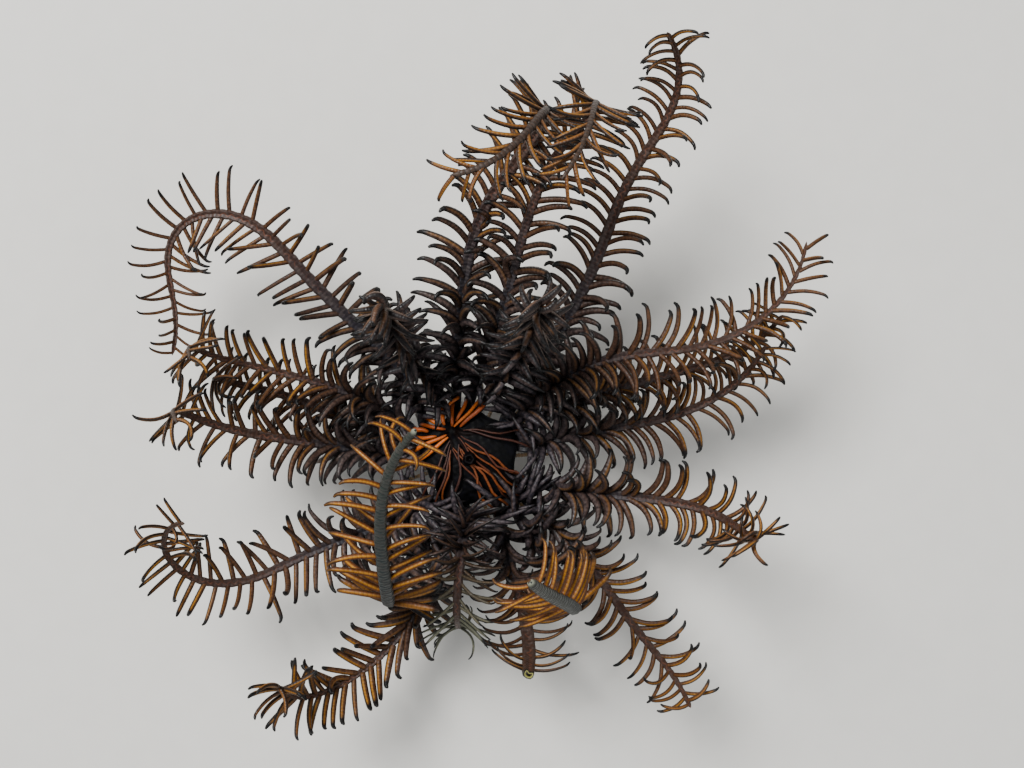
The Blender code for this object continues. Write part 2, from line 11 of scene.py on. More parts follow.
import bmesh
import bpy
import numpy as np
from bpy.props import FloatProperty, FloatVectorProperty, IntProperty, PointerProperty
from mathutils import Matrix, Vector

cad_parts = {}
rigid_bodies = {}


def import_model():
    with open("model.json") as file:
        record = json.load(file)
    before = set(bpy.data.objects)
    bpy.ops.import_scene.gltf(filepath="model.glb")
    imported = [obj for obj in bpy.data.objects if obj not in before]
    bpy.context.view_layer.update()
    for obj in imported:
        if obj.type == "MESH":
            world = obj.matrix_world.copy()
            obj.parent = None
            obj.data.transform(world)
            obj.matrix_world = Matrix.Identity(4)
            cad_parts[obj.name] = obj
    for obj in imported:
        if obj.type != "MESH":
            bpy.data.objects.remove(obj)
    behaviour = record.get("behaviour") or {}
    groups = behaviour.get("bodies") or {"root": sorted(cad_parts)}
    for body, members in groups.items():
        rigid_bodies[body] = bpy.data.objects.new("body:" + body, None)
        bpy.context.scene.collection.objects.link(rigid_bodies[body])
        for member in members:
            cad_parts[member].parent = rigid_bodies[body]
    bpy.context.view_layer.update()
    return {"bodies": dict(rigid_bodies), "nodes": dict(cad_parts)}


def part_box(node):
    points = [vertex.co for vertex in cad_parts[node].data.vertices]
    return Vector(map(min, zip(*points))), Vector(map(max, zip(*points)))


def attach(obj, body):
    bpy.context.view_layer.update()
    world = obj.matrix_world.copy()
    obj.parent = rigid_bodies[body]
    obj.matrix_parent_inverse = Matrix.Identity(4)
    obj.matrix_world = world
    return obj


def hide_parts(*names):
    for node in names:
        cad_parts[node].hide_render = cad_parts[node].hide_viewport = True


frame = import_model()
BODY = sorted(frame["bodies"])[0]

bl_info = {
    "name": "Comatella feather star",
    "version": (1, 0, 0),
    "blender": (4, 5, 0),
    "location": "View3D > Sidebar > Feather star",
    "description": "Arm skins, pinnules, disc and cirri of a feather star on its solids",
    "category": "Object",
}

MM = 0.001
UP = np.array([0.0, 0.0, 1.0])

# The crown's axis, taken from the solid of the anal cone, which stands on it
CONE_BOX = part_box("anal_cone")
AXIS = np.array([(CONE_BOX[0][i] + CONE_BOX[1][i]) / 2 / MM for i in (0, 1)] + [0.0])

# Arms, in millimetres
ROOT_R = 12.0
ROOT_Z = 14.5
ROOT_HALF = 1.15
ARM_SWELL = 0.60
ARM_TAPER = 0.60
ARM_POINT = 1.4
BROKEN = ("E1",)
LINE_STATIONS = 4            # stations of its centre line in a millimetre

# Crown
RAY_AZ = {"A": 30.0, "B": 98.0, "C": 165.0, "D": 246.0, "E": 318.0}
RADIAL_IN = 3.0
RADIAL_Z = (11.9, 14.9)
RADIAL_EDGE = 0.35
RAY_Z = 13.4
FORK_1 = 6.4
FORK_2 = 9.2
FORK_2_SPREAD = 13.5
FORK_2_Z = 14.0
RAY_HALF = (1.75, 1.45)      # before and after the first fork
RAY_FLAT = 0.82
GAP = 0.3
DISC_R = 10.2
DISC_Z = (15.45, 18.6)
DISC_TOP = ((0.46, 18.25), (0.64, 17.9), (0.8, 17.45), (0.93, 16.95), (1.0, 16.35))
DISC_LOBE = 0.07
DISC_RINGS, DISC_SIDES = 96, 160
GROOVE_HALF, GROOVE_DEEP, GROOVE_WAVER = 0.42, 0.3, 0.35
MOUTH_R, MOUTH_DEEP = 1.5, 1.1
MOUTH_AT = (-3.9, 5.6)
ANUS_R = 1.7
ANUS_TALL = 3.2

# Centrodorsal and cirri
CD_R = 2.9
CD_Z = (8.4, 11.6)
CIRRI = 14
CIRRI_FREE = 8
CIRRUS_HALF = 0.50
CIRRUS_ROOT = 1.7
CIRRUS_REACH = 13.4
FREE_REACH = 8.0
REACH_VARIES = 1.3
FOOT_END = 2.6
CIRRAL = 1.0                 # length of a cirrus's joint
CIRRUS_STEP = 0.25           # from ring to ring
CLAW_HALF, CLAW_DROP = 0.34, 0.34

# Pinnules: sizes by their place on the arm, 0 at its root and 1 at its tip. Near the crown they
# are stout and arch outward from the arm, far out they are slender and nearly straight.
PIN_LONG = ((0.0, 8.4), (0.12, 9.4), (0.3, 9.2), (0.5, 8.6), (0.8, 7.8), (0.93, 6.8), (1.0, 5.0))
PIN_HALF = ((0.0, 0.98), (0.15, 0.98), (0.35, 0.74), (0.6, 0.56), (0.85, 0.48), (1.0, 0.42))
PIN_RAISE = ((0.0, 52.0), (0.25, 38.0), (0.5, 28.0), (1.0, 22.0))
PIN_HOOK = ((0.0, 55.0), (0.3, 60.0), (0.55, 45.0), (1.0, 35.0))
LEAN_NEAR, LEAN_FAR = 62.0, 66.0
SWING_NEAR, SWING_FAR = 48.0, 28.0
NEAR = (8.0, 34.0)           # along the arm, where the stout ones begin to give way and end
ROWS = (30.0, 0.0, -46.0)    # near the crown they stand in rows of these raises
PIN_SIDES = 6
PIN_FLAT = 0.92              # their height for their width
PAIR_LEAN = 6                # every other pair leans so many degrees more, the others less
NEAR_CLOSER = 0.38           # how much closer they stand near the crown
PINNULARS, ORAL_PINNULARS = 12, 14
ALONG = np.array([0, 0.05, 0.14, 0.24, 0.34, 0.44, 0.54, 0.64, 0.73, 0.81, 0.88, 0.94, 1.0])

# Each arm: azimuth of its root, length, headings and pitches at even stations from root to tip,
# and roll at the tip. A pitch past 90 turns the arm back over the crown.
ARMS = {
    "A1": (10, 60, (20, 10, 15, 40, 80), (20, 10, 10, 25, 70), 0),
    "A2": (23, 64, (45, 20, 15, 25, 70), (25, 15, 5, 20, 70), 0),
    "A3": (37, 80, (55, 30, 5, 35, 80), (40, 40, 10, -5, -10), 20),
    "A4": (50, 92, (55, 60, 70, 60, 145), (15, 20, 15, 35, 60), 25),
    "B1": (78, 62, (45, 55, 60, 75, 110), (50, 60, 70, 80, 85), 0),
    "B2": (91, 106, (65, 70, 75, 65, 40, 75, 55), (40, 35, 30, 35, 60, 125, 165), 0),
    "B3": (105, 108, (85, 85, 75, 50, 50, 55, 10), (40, 30, 30, 35, 75, 140, 180), 0),
    "B4": (118, 58, (115, 120, 115, 100, 80), (40, 60, 70, 80, 85), 0),
    "C1": (145, 100, (100, 130, 135, 135, 190, 275, 255), (20, 25, 15, 10, -15, -15, -10), 30),
    "C2": (158, 64, (130, 155, 165, 160, 110), (25, 35, 15, 45, 135), 0),
    "C3": (172, 52, (155, 155, 160, 165, 145), (10, 10, 15, 45, 105), 0),
    "C4": (185, 62, (160, 170, 170, 155, 125), (20, 25, 25, 40, 140), 0),
    "D1": (226, 78, (210, 200, 200, 120, 0), (20, 15, 10, 45, 45), -30),
    "D2": (239, 93, (240, 245, 270, 260, 225), (-5, 70, 125, 135, 135), 0),
    "D3": (253, 70, (255, 245, 220, 175, 40), (0, 10, 20, 50, 75), 0),
    "D4": (266, 42, (265, 265, 265, 270, 270), (70, 65, 25, -55, -85), 0),
    "E1": (298, 43, (280, 285, 285, 270, 245), (5, 0, 15, 55, 100), 0),
    "E2": (311, 82, (305, 305, 300, 315, 310), (0, 50, 100, 110, 115), 0),
    "E3": (325, 60, (315, 315, 305, 310, 290), (10, 15, 10, 20, 75), 0),
    "E4": (338, 69, (345, 355, 350, 320, 305), (25, 20, 25, 75, 100), 0),
}

# An arm's fringe. Values in brackets are at even stations from root to tip. amber: how amber the
# pinnules are, grey-green below 0. lean and raised: added to their angles. askew: added to the
# lean on one side and taken off on the other. long, thick, step: times the usual length, width and
# distance. curl: how far they bend away from the arm's tip, toward it below 0. near: how far out
# they are stout. wild: how uneven they are raised, at root and tip. brown: how brown the arm's
# back is. slim: times the arm's own width at its middle and tip.
USUAL = {"amber": (0.1, 0.45), "lean": (0,), "askew": 0, "raised": (0,), "long": 1.0, "thick": 1.0,
         "step": 1.0, "curl": (1,), "near": 1.0, "wild": (0, 0), "brown": 1.0, "slim": (0.85, 0.75)}
UPRIGHT = {"amber": (0.0, 0.1), "step": 1.1, "near": 3.0, "brown": 0.2, "long": 0.85, "wild": (55, 60)}
FRINGES = {
    "A1": {"amber": (0.1, 0.3), "raised": (-10, -14), "wild": (0, 20), "curl": (1, 1.6)},
    "A2": {"amber": (0.15, 0.4), "long": 0.95, "wild": (0, 20), "curl": (1, 1.8, 1.6)},
    "A3": {"amber": (0.1, 0.3), "raised": (4,), "slim": (0.8, 0.6), "near": 1.2},
    "A4": {"amber": (0.0, 0.2), "lean": (2,), "brown": 0.6, "slim": (1.0, 0.9), "curl": (1, 1.4)},
    "B1": UPRIGHT,
    "B2": {"amber": (0.0, 0.1, 0.3, 0.55), "lean": (-4, -4, -4, -8, -18), "step": 1.1,
           "raised": (0, 0, -6, -50, -24, -10), "slim": (0.8, 0.7), "curl": (1, 0.8)},
    "B3": {"amber": (0.0, 0.1, 0.3, 0.55), "lean": (-4, -4, -4, -8, -18), "long": 1.05, "step": 1.1,
           "raised": (0, 0, -6, -50, -24, -10), "near": 1.3, "slim": (1.05, 0.85), "curl": (1, 0.8)},
    "B4": UPRIGHT,
    "C1": {"amber": (0.0, 0.15, 0.3), "lean": (0, 12, 12, 16, 12), "askew": 9, "thick": 0.85,
           "brown": 0.8, "curl": (1, 0.2, 0, 0.8, 0.8), "slim": (1.0, 0.75)},
    "C2": {"amber": (0.1, 0.45), "lean": (-4,), "slim": (0.7, 0.6), "curl": (0.4,), "wild": (0, 30)},
    "C3": {"amber": (0.1, 0.3), "long": 0.95, "wild": (0, 30)},
    "C4": {"amber": (0.05, 0.35), "slim": (0.9, 0.8), "curl": (0.4,), "wild": (0, 36)},
    "D1": {"amber": (0.1, 0.4), "lean": (10,), "curl": (0, -0.3), "slim": (0.8, 0.75), "wild": (0, 24)},
    "D2": {"amber": (0.1, 0.35, 0.9, 1, 1), "lean": (8,), "askew": 8, "raised": (-10, -14),
           "long": 1.1, "step": 1.35, "thick": 1.08, "brown": 0.0, "slim": (1.1, 1.15),
           "curl": (0.7,), "near": 0.6, "wild": (6, 12)},
    "D3": {"amber": (0.2, 0.5), "lean": (-8,), "curl": (0.2,), "slim": (0.65, 0.6), "thick": 1.2,
           "step": 0.88, "wild": (0, 36)},
    "D4": {"amber": (0.1, -1.3), "brown": 0.0, "thick": 0.66, "step": 0.75, "curl": (1, 0.3),
           "wild": (0, 50)},
    "E1": {"amber": (0.05, 0.25), "lean": (10, 18), "long": 1.12, "thick": 0.8, "brown": 0.5,
           "curl": (1.3,), "slim": (1.0, 1.95)},
    "E2": {"amber": (0.05, 0.6, 1, 1), "lean": (8,), "raised": (10, 14), "long": 1.12, "step": 1.8,
           "thick": 1.12, "brown": 0.0, "slim": (1.1, 1.5), "curl": (0.3,), "near": 0.7},
    "E3": {"amber": (0.1, 0.5), "slim": (0.85, 0.7), "curl": (1, 1.3)},
    "E4": {"amber": (0.15, 0.5), "curl": (1.4, 2.0), "slim": (0.9, 0.75), "wild": (0, 40)},
}
FRINGE = {name: {**USUAL, **FRINGES[name]} for name in FRINGES}

# An arm's skin in cross-section, in half widths: right and toward the oral side, with its groove
ARM_SECTION = (
    (0.97, 0.30), (0.86, 0.58), (0.58, 0.74), (0.30, 0.62), (0.0, 0.46), (-0.30, 0.62),
    (-0.58, 0.74), (-0.86, 0.58), (-0.97, 0.30), (-0.97, -0.25), (-0.70, -0.72), (0.0, -0.90),
    (0.70, -0.72), (0.97, -0.25),
)
BRANCH_SINK = 0.6    # how far an arm's skin starts inside its fork

# Rings of a brachial: their share of its length, and their width. Then the widths of the rings at
# an arm's root, inside the fork, and how many brachials they are apart.
BRACHIAL_RINGS = ((0.0, 0.965), (0.22, 1.015), (0.78, 1.015))
ROOT_WIDE, ROOT_STEP = (0.75, 1.0, 0.93, 1.04, 1.04), 0.4
ZIGZAG, ZIGZAG_FROM = 0.035, 4.0     # how far brachials stand aside, and where fully so

# Rings of an arm's point, and of a broken end: how many times ARM_POINT they are from the tip, their
# width, and how many brachials past the last one
POINT_RINGS = ((0.9, 0.95, 0.3), (0.55, 0.75, 0.6), (0.25, 0.45, 0.9), (0.0, 0.1, 1.2))
BROKEN_RINGS = ((0.0, 1.0, 0.5),)

# Rings of a ray before its first fork, and of a branch before the next: 0 counted from its start or
# 1 from its end, millimetres from there, and width
TRUNK_RINGS = ((0, 0.0, 0.93), (0, 0.3, 1.0), (0, 1.2, 1.02), (0, 1.5, 0.92), (0, 1.8, 1.0),
               (0, 2.8, 1.05), (1, 0.0, 1.0), (1, 0.9, 0.6))
BRANCH_RINGS = ((0, -0.5, 0.7), (0, 0.4, 0.95), (0, 1.2, 1.02), (0, 1.5, 0.92), (0, 1.8, 1.02),
                (1, 0.0, 1.03), (1, 0.7, 0.65))

# A broken end's insets: how deep each goes in, and how many times STUMP_MOVE it then moves onward
STUMP_INSETS = ((0.12 * MM, 1.0), (0.2 * MM, 0.0), (0.12 * MM, -1.6), (0.2 * MM, 0.8))
STUMP_MOVE = 0.2 * MM
STUMP_NEAR = 1.5 * MM        # its end faces are no further than this from the arm's tip
WELD = 0.01 * MM

# Soft light: name, place in metres, size, watts. Then the sky's colour and strength.
LIGHTS = (("key", (-0.30, 0.35, 0.75), 0.35, 13.0), ("fill", (0.6, -0.3, 0.6), 0.7, 2.5))
SKY, SKY_STRENGTH = "#cfd6dd", 0.45
FLOOR_SIZE = 4.0

# The photograph's view: straight down, its top along +Y
VIEW_OVER = (8.8, 15.5)      # the point under the lens, from the crown's axis
VIEW_HIGH = 316.0
VIEW_LENS = 50.2


def linear(colour):
    """An sRGB hex colour as linear red, green, blue and full alpha, and any other value as it is."""
    if not isinstance(colour, str):
        return colour
    parts = [int(colour[i:i + 2], 16) / 255 for i in (1, 3, 5)]
    return [c / 12.92 if c <= 0.04045 else ((c + 0.055) / 1.055) ** 2.4 for c in parts] + [1.0]


def along(table, u):
    """Sizes read off their table at u."""
    return np.interp(u, [t[0] for t in table], [t[1] for t in table])


def station(values, u):
    """A value at u, read between values at even stations from 0 to 1."""
    return float(np.interp(u, np.linspace(0, 1, len(values)), values))


def keyed(keys, u):
    """A smooth curve through evenly spaced keys."""
    k = np.asarray(keys, float)
    n = len(k) - 1
    x = np.clip(u, 0, 1) * n
    i = np.minimum(x.astype(int), n - 1)
    t = x - i
    kk = np.concatenate([[2 * k[0] - k[1]], k, [2 * k[-1] - k[-2]]])
    a, b, c, d = kk[i], kk[i + 1], kk[i + 2], kk[i + 3]
    return 0.5 * (2 * b + (c - a) * t + (2 * a - 5 * b + 4 * c - d) * t * t
                  + (3 * b - a - 3 * c + d) * t ** 3)


def unit(v):
    """Vectors at length one."""
    return v / np.linalg.norm(v, axis=-1, keepdims=True)


def distances(path):
    """How far along a path each of its points is."""
    return np.append(0, np.cumsum(np.linalg.norm(np.diff(path, axis=0), axis=1)))


def ease(x):
    """0 to 1 with a soft start and end, and held there."""
    x = np.clip(x, 0, 1)
    return x * x * (3 - 2 * x)


def angles_round(count):
    """Even angles once round, from the top."""
    return np.radians(90 + 360 / count * np.arange(count))


def polar(r, degrees, z):
    """A point by its distance and azimuth from the crown's axis, and its height."""
    a = math.radians(degrees)
    return np.array([r * math.cos(a), r * math.sin(a), z])


def fork_at(azimuth, sign):
    """Where one side of a ray forks again."""
    return polar(FORK_2, azimuth + sign * FORK_2_SPREAD, FORK_2_Z)


def arm_half(u):
    """Half an arm's width at u, from 0 at its root to 1 at its tip."""
    return ROOT_HALF + ARM_SWELL * u * (1 - u) - ARM_TAPER * u * u


class Line:
    """An arm's centre line, with its direction, oral side and right side at every station."""

    def __init__(self, name):
        azimuth, self.length, heads, pitches, roll = ARMS[name]
        n = int(self.length * LINE_STATIONS)
        self.step = self.length / n
        u = np.linspace(0, 1, n + 1)
        middle = (u[1:] + u[:-1]) / 2
        h, p = np.radians(keyed(heads, middle)), np.radians(keyed(pitches, middle))
        move = np.stack([np.cos(h) * np.cos(p), np.sin(h) * np.cos(p), np.sin(p)], 1) * self.step
        self.at = polar(ROOT_R, azimuth, ROOT_Z) + np.concatenate([[[0, 0, 0]], np.cumsum(move, 0)])
        h, p = np.radians(keyed(heads, u)), np.radians(keyed(pitches, u))
        self.fore = np.stack([np.cos(h) * np.cos(p), np.sin(h) * np.cos(p), np.sin(p)], 1)
        up = np.stack([-np.cos(h) * np.sin(p), -np.sin(h) * np.sin(p), np.cos(p)], 1)
        right = np.cross(self.fore, up)
        r = np.radians(roll * u * u)[:, None]
        self.up = up * np.cos(r) - right * np.sin(r)
        self.right = right * np.cos(r) + up * np.sin(r)

    def frames(self, s):
        """Places, directions, oral sides, right sides and half widths at s from the root."""
        s = np.atleast_1d(np.asarray(s, float))
        x = np.clip(s / self.step, 0, len(self.at) - 1)
        i = np.minimum(x.astype(int), len(self.at) - 2)
        t = (x - i)[:, None]
        mix = [a[i] * (1 - t) + a[i + 1] * t for a in (self.at, self.fore, self.up, self.right)]
        return mix[0], unit(mix[1]), unit(mix[2]), unit(mix[3]), arm_half(s / self.length)


# Objects and meshes

def deselect():
    for ob in list(bpy.context.selected_objects):
        ob.select_set(False)


def only(ob):
    """Makes ob the one selected and active object."""
    deselect()
    ob.select_set(True)
    bpy.context.view_layer.objects.active = ob


def smooth(ob, angle):
    only(ob)
    bpy.ops.object.shade_smooth_by_angle(angle=math.radians(angle))


def settle(ob, name, material, slot, *nodes, angle=60):
    """Smooths and names a finished piece, with its material and the solids it stands for. Its slot is
    not used.
    """
    if not len(ob.data.polygons):
        raise RuntimeError("%s has no faces" % name)
    smooth(ob, angle)
    ob.name = name
    ob.data.name = name
    ob.data.materials.clear()
    ob.data.materials.append(material)
    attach(ob, BODY)
    if nodes:
        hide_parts(*nodes)


def set_attribute(me, name, values, at=slice(None)):
    """An attribute of a mesh's points, with values for those numbered at and 0 for the others."""
    every = np.zeros(len(me.vertices), np.float32)
    every[at] = values
    me.attributes.new(name, "FLOAT", "POINT").data.foreach_set("value", every)


def set_map(me, name, uv):
    """A UV map from one pair for each corner of a face."""
    layer = me.uv_layers.new(name=name)
    layer.data.foreach_set("uv", np.ascontiguousarray(uv, np.float32).ravel())


def corner_points(me):
    """The number of each face corner's point."""
    index = np.empty(len(me.loops), np.int32)
    me.loops.foreach_get("vertex_index", index)
    return index


def past_seam(me, u):
    """Which corners are past a tube's seam by u once round it, and how many corners their faces have."""
    totals = np.empty(len(me.polygons), np.int32)
    me.polygons.foreach_get("loop_total", totals)
    face = np.repeat(np.arange(len(totals)), totals)
    high = np.zeros(len(totals))
    np.maximum.at(high, face, u)
    return high[face] - u > 0.5, totals[face]


def outline(name, points):
    """A flat closed curve, in half widths, that a path carries along as its cross-section."""
    data = bpy.data.curves.new(name, "CURVE")
    data.dimensions = "2D"
    data.fill_mode = "NONE"
    spline = data.splines.new("POLY")
    spline.points.add(len(points) - 1)
    spline.use_cyclic_u = True
    for point, (x, y) in zip(spline.points, points):
        point.co = (x, y, 0, 1)
    ob = bpy.data.objects.new(name, data)
    bpy.context.scene.collection.objects.link(ob)
    return ob


def poly_path(points):
    """A curve of straight stretches through points in metres, at the origin: object and spline."""
    deselect()
    bpy.ops.curve.primitive_nurbs_path_add()
    ob = bpy.context.object
    ob.location = (0, 0, 0)
    ob.data.splines.clear()
    spline = ob.data.splines.new("POLY")
    spline.points.add(len(points) - 1)
    spline.points.foreach_set("co", np.append(points, np.ones((len(points), 1)), 1).ravel())
    return ob, spline


def swept(points, halves, ridges, section):
    """A tube along points about the crown's axis, its section's own +Y toward each ridge.

    Returns the object and the numbers of its points as rings of the section's points.
    """
    ob, spline = poly_path((points + AXIS) * MM)
    ob.data.twist_mode = "Z_UP"
    ob.data.bevel_mode = "OBJECT"
    ob.data.bevel_object = section
    ob.data.use_fill_caps = True
    ways = unit(np.diff(points, axis=0))
    ways = unit(np.concatenate([ways[:1], ways[1:] + ways[:-1], ways[-1:]]))
    level = UP - ways * (ways @ UP)[:, None]
    across = np.cross(level, ridges)
    tilts = np.arctan2((across * ways).sum(1), (level * ridges).sum(1))
    spline.points.foreach_set("radius", np.asarray(halves) * MM)
    spline.points.foreach_set("tilt", tilts)
    only(ob)
    bpy.ops.object.convert(target="MESH")
    sides = len(section.data.splines[0].points)
    first = len(ob.data.vertices) - len(points) * sides
    return ob, first + np.arange(len(points) * sides).reshape(len(points), sides)


def tube_map(me, rings, v, name):
    """A map of a tube: u once round its section, v as given for each ring."""
    sides = rings.shape[1]
    u_at = np.full(len(me.vertices), 0.5)
    v_at = np.full(len(me.vertices), v[-1])
    u_at[rings] = np.arange(sides) / sides
    v_at[rings] = np.asarray(v)[:, None]
    index = corner_points(me)
    uv = np.stack([u_at[index], v_at[index]], 1)
    uv[past_seam(me, uv[:, 0])[0], 0] += 1
    set_map(me, name, uv)


def weld(ob, distance=WELD):
    """Closes a tube's caps on its ends."""
    only(ob)
    bpy.ops.object.mode_set(mode="EDIT")
    bpy.ops.mesh.select_all(action="SELECT")
    bpy.ops.mesh.remove_doubles(threshold=distance)
    bpy.ops.mesh.normals_make_consistent(inside=False)
    bpy.ops.object.mode_set(mode="OBJECT")


def joined(objects):
    """Several objects as one, in the first one's place."""
    deselect()
    for ob in objects:
        ob.select_set(True)
    bpy.context.view_layer.objects.active = objects[0]
    bpy.ops.object.join()
    return bpy.context.object


# Node trees

# Kinds of node: Blender's name, settings, inputs with their usual values if any, output taken
NODES = {
    "attribute": ("Attribute", {}, {}, "Fac"),
    "map": ("UVMap", {}, {}, 0),
    "y": ("SeparateXYZ", {}, {0: None}, 1),
    "coordinates": ("TexCoord", {}, {}, "Object"),
    "noise": ("TexNoise", {}, {"Vector": None, "Scale": None, "Detail": 3.0}, 0),
    "spread": ("MapRange", {"interpolation_type": "SMOOTHSTEP"},
               {0: None, 1: None, 2: None, 3: 0.0, 4: 1.0}, 0),
    "ramp": ("ValToRGB", {}, {0: None}, 0),
    "mix": ("Mix", {"data_type": "RGBA"}, {0: None, 6: None, 7: None}, 2),
    "bump": ("Bump", {}, {"Height": None, "Distance": None, "Strength": 0.6}, 0),
}
for kind in ("ADD", "SUBTRACT", "MULTIPLY", "MAXIMUM", "ABSOLUTE", "FRACT", "COSINE", "PINGPONG"):
    NODES[kind] = ("Math", {"operation": kind}, {0: None, 1: None}, 0)


def add_node(tree, kind, *values, stops=(), **settings):
    """Adds a node with its settings and links, and gives its output.

    The values are for its inputs in turn: numbers, colours, or other nodes' outputs. The stops are
    places and colours of a ramp.
    """
    name, usual, inputs, output = NODES[kind]
    node = tree.nodes.new("ShaderNode" + name)
    for key, value in {**usual, **settings}.items():
        setattr(node, key, value)
    for key, value in {**inputs, **dict(zip(inputs, values))}.items():
        if isinstance(value, bpy.types.NodeSocket):
            tree.links.new(value, node.inputs[key])
        elif value is not None:
            node.inputs[key].default_value = linear(value)
    for i, (place, colour) in enumerate(stops):
        bar = node.color_ramp.elements
        stop = bar[i] if i < len(bar) else bar.new(place)
        stop.position, stop.color = place, linear(colour)
    return node.outputs[output]


def shader_input(mat, key):
    """A socket of a material's shader, by its name with underscores for spaces."""
    return mat.node_tree.nodes["Principled BSDF"].inputs[key.replace("_", " ")]


def new_material(name, **values):
    """A material with values on its shader's own sockets, what adds nodes to it, and places on it."""
    mat = bpy.data.materials.new(name)
    mat.use_nodes = True
    for key, value in values.items():
        shader_input(mat, key).default_value = value
    add = functools.partial(add_node, mat.node_tree)
    return mat, add, add("coordinates")


def wired(mat, **outputs):
    """The material, with these outputs linked to its shader."""
    for key, output in outputs.items():
        mat.node_tree.links.new(output, shader_input(mat, key))
    return mat


def layered(add, colour, *layers):
    """Colours laid one over another, each as far as its factor lets it show."""
    for factor, over in layers:
        colour = add("mix", factor, colour, over)
    return colour


def product(add, value, *others):
    """Values times one another."""
    for other in others:
        value = add("MULTIPLY", value, other)
    return value


def apart(add, a, b):
    """How far a value is from another."""
    return add("ABSOLUTE", add("SUBTRACT", a, b))


def lumps(millimetres):
    """The scale of a noise whose lumps are as large as given."""
    return 1.0 / (millimetres * MM)


# Materials

def pinnule_material(colours):
    """Thin wet skin over calcite pinnulars, which gives a soft sheen.

    Grey-brown between dark edges near the crown, with amber lines and black tips far out.
    Attributes: along from root to tip, ridge 1 on the oral side and -1 behind, distal 1 on the edge
    toward the arm's tip, place on the arm, how amber the arm is there, and each pinnule's own hue.
    """
    mat, add, where = new_material("pinnule_skin", Roughness=0.45, Specular_IOR_Level=0.28)
    t, ridge, distal, place, hue, amber = (add("attribute", attribute_name=name) for name in (
        "along", "ridge", "distal", "place", "hue", "amber"))
    mottle = add("noise", where, lumps(0.7))
    golden = add("spread", amber, 0.4, 0.85)
    grey = add("spread", amber, -0.35, -1.0)
    edge = add("ramp", place, stops=((0.0, colours.edge[:]), (0.5, "#180f0a"), (1.0, "#20140a")))
    edge = layered(add, edge, (golden, "#3f210c"), (grey, "#303129"))
    light = add("ramp", place, stops=((0.0, colours.crown_flesh[:]), (0.2, "#4a3d39"), (0.45, "#50331f"),
                                      (1.0, colours.outer_flesh[:])))
    dark = add("ramp", place, stops=((0.0, "#1f1d23"), (0.2, "#2a2222"), (0.45, "#362217"),
                                     (1.0, "#402613")))
    flesh = layered(add, dark, (add("spread", mottle, 0.35, 0.65), light), (golden, "#633610"),
                    (grey, "#5f5f4c"))
    flat = add("ABSOLUTE", ridge)
    bright = layered(add, "#764819", (hue, colours.amber[:]), (golden, colours.gold[:]))
    dull = add("spread", amber, 0.5, 0.85, 1.0, 0.0)
    # The line on the oral side runs along its distal edge
    own = product(add, add("spread", add("ADD", amber, product(add, hue, 0.35)), 0.12, 0.75),
                  add("spread", place, 0.02, 0.4, 0.3, 1.0))
    oral = product(add, add("spread", apart(add, distal, 0.5), 0.4, 0.1),
                   add("spread", ridge, 0.2, 0.6), own, dull)
    # Behind, the amber is wide on dull arms and a narrow line on golden ones
    rear = product(add, add("spread", product(add, ridge, -1.0), 0.55, 0.95),
                   add("spread", amber, 0.0, 0.5, 0.2, 0.9), dull)
    gilt = product(add, add("spread", flat, 0.72, 0.97), golden)
    line = product(add, add("MAXIMUM", add("MAXIMUM", oral, rear), gilt),
                   add("spread", t, 0.0, 0.3, 0.1, 1.0))
    joint = apart(add, add("FRACT", product(add, t, PINNULARS)), 0.5)
    tip = product(add, add("spread", add("ADD", t, product(add, hue, 0.1)), 0.8, 0.95),
                  add("spread", amber, 0.5, 0.9, 1.0, 0.7))
    colour = layered(add, edge, (add("spread", flat, 0.25, 0.9), flesh), (line, bright),
                     (add("spread", joint, 0.36, 0.5, 0.0, 0.4), "#17100c"), (tip, "#0b0909"))
    height = add("SUBTRACT", mottle, product(add, joint, 1.2))
    return wired(mat, Base_Color=colour, Roughness=add("spread", mottle, 0.3, 0.7, 0.36, 0.6),
                 Normal=add("bump", height, 0.12 * MM))


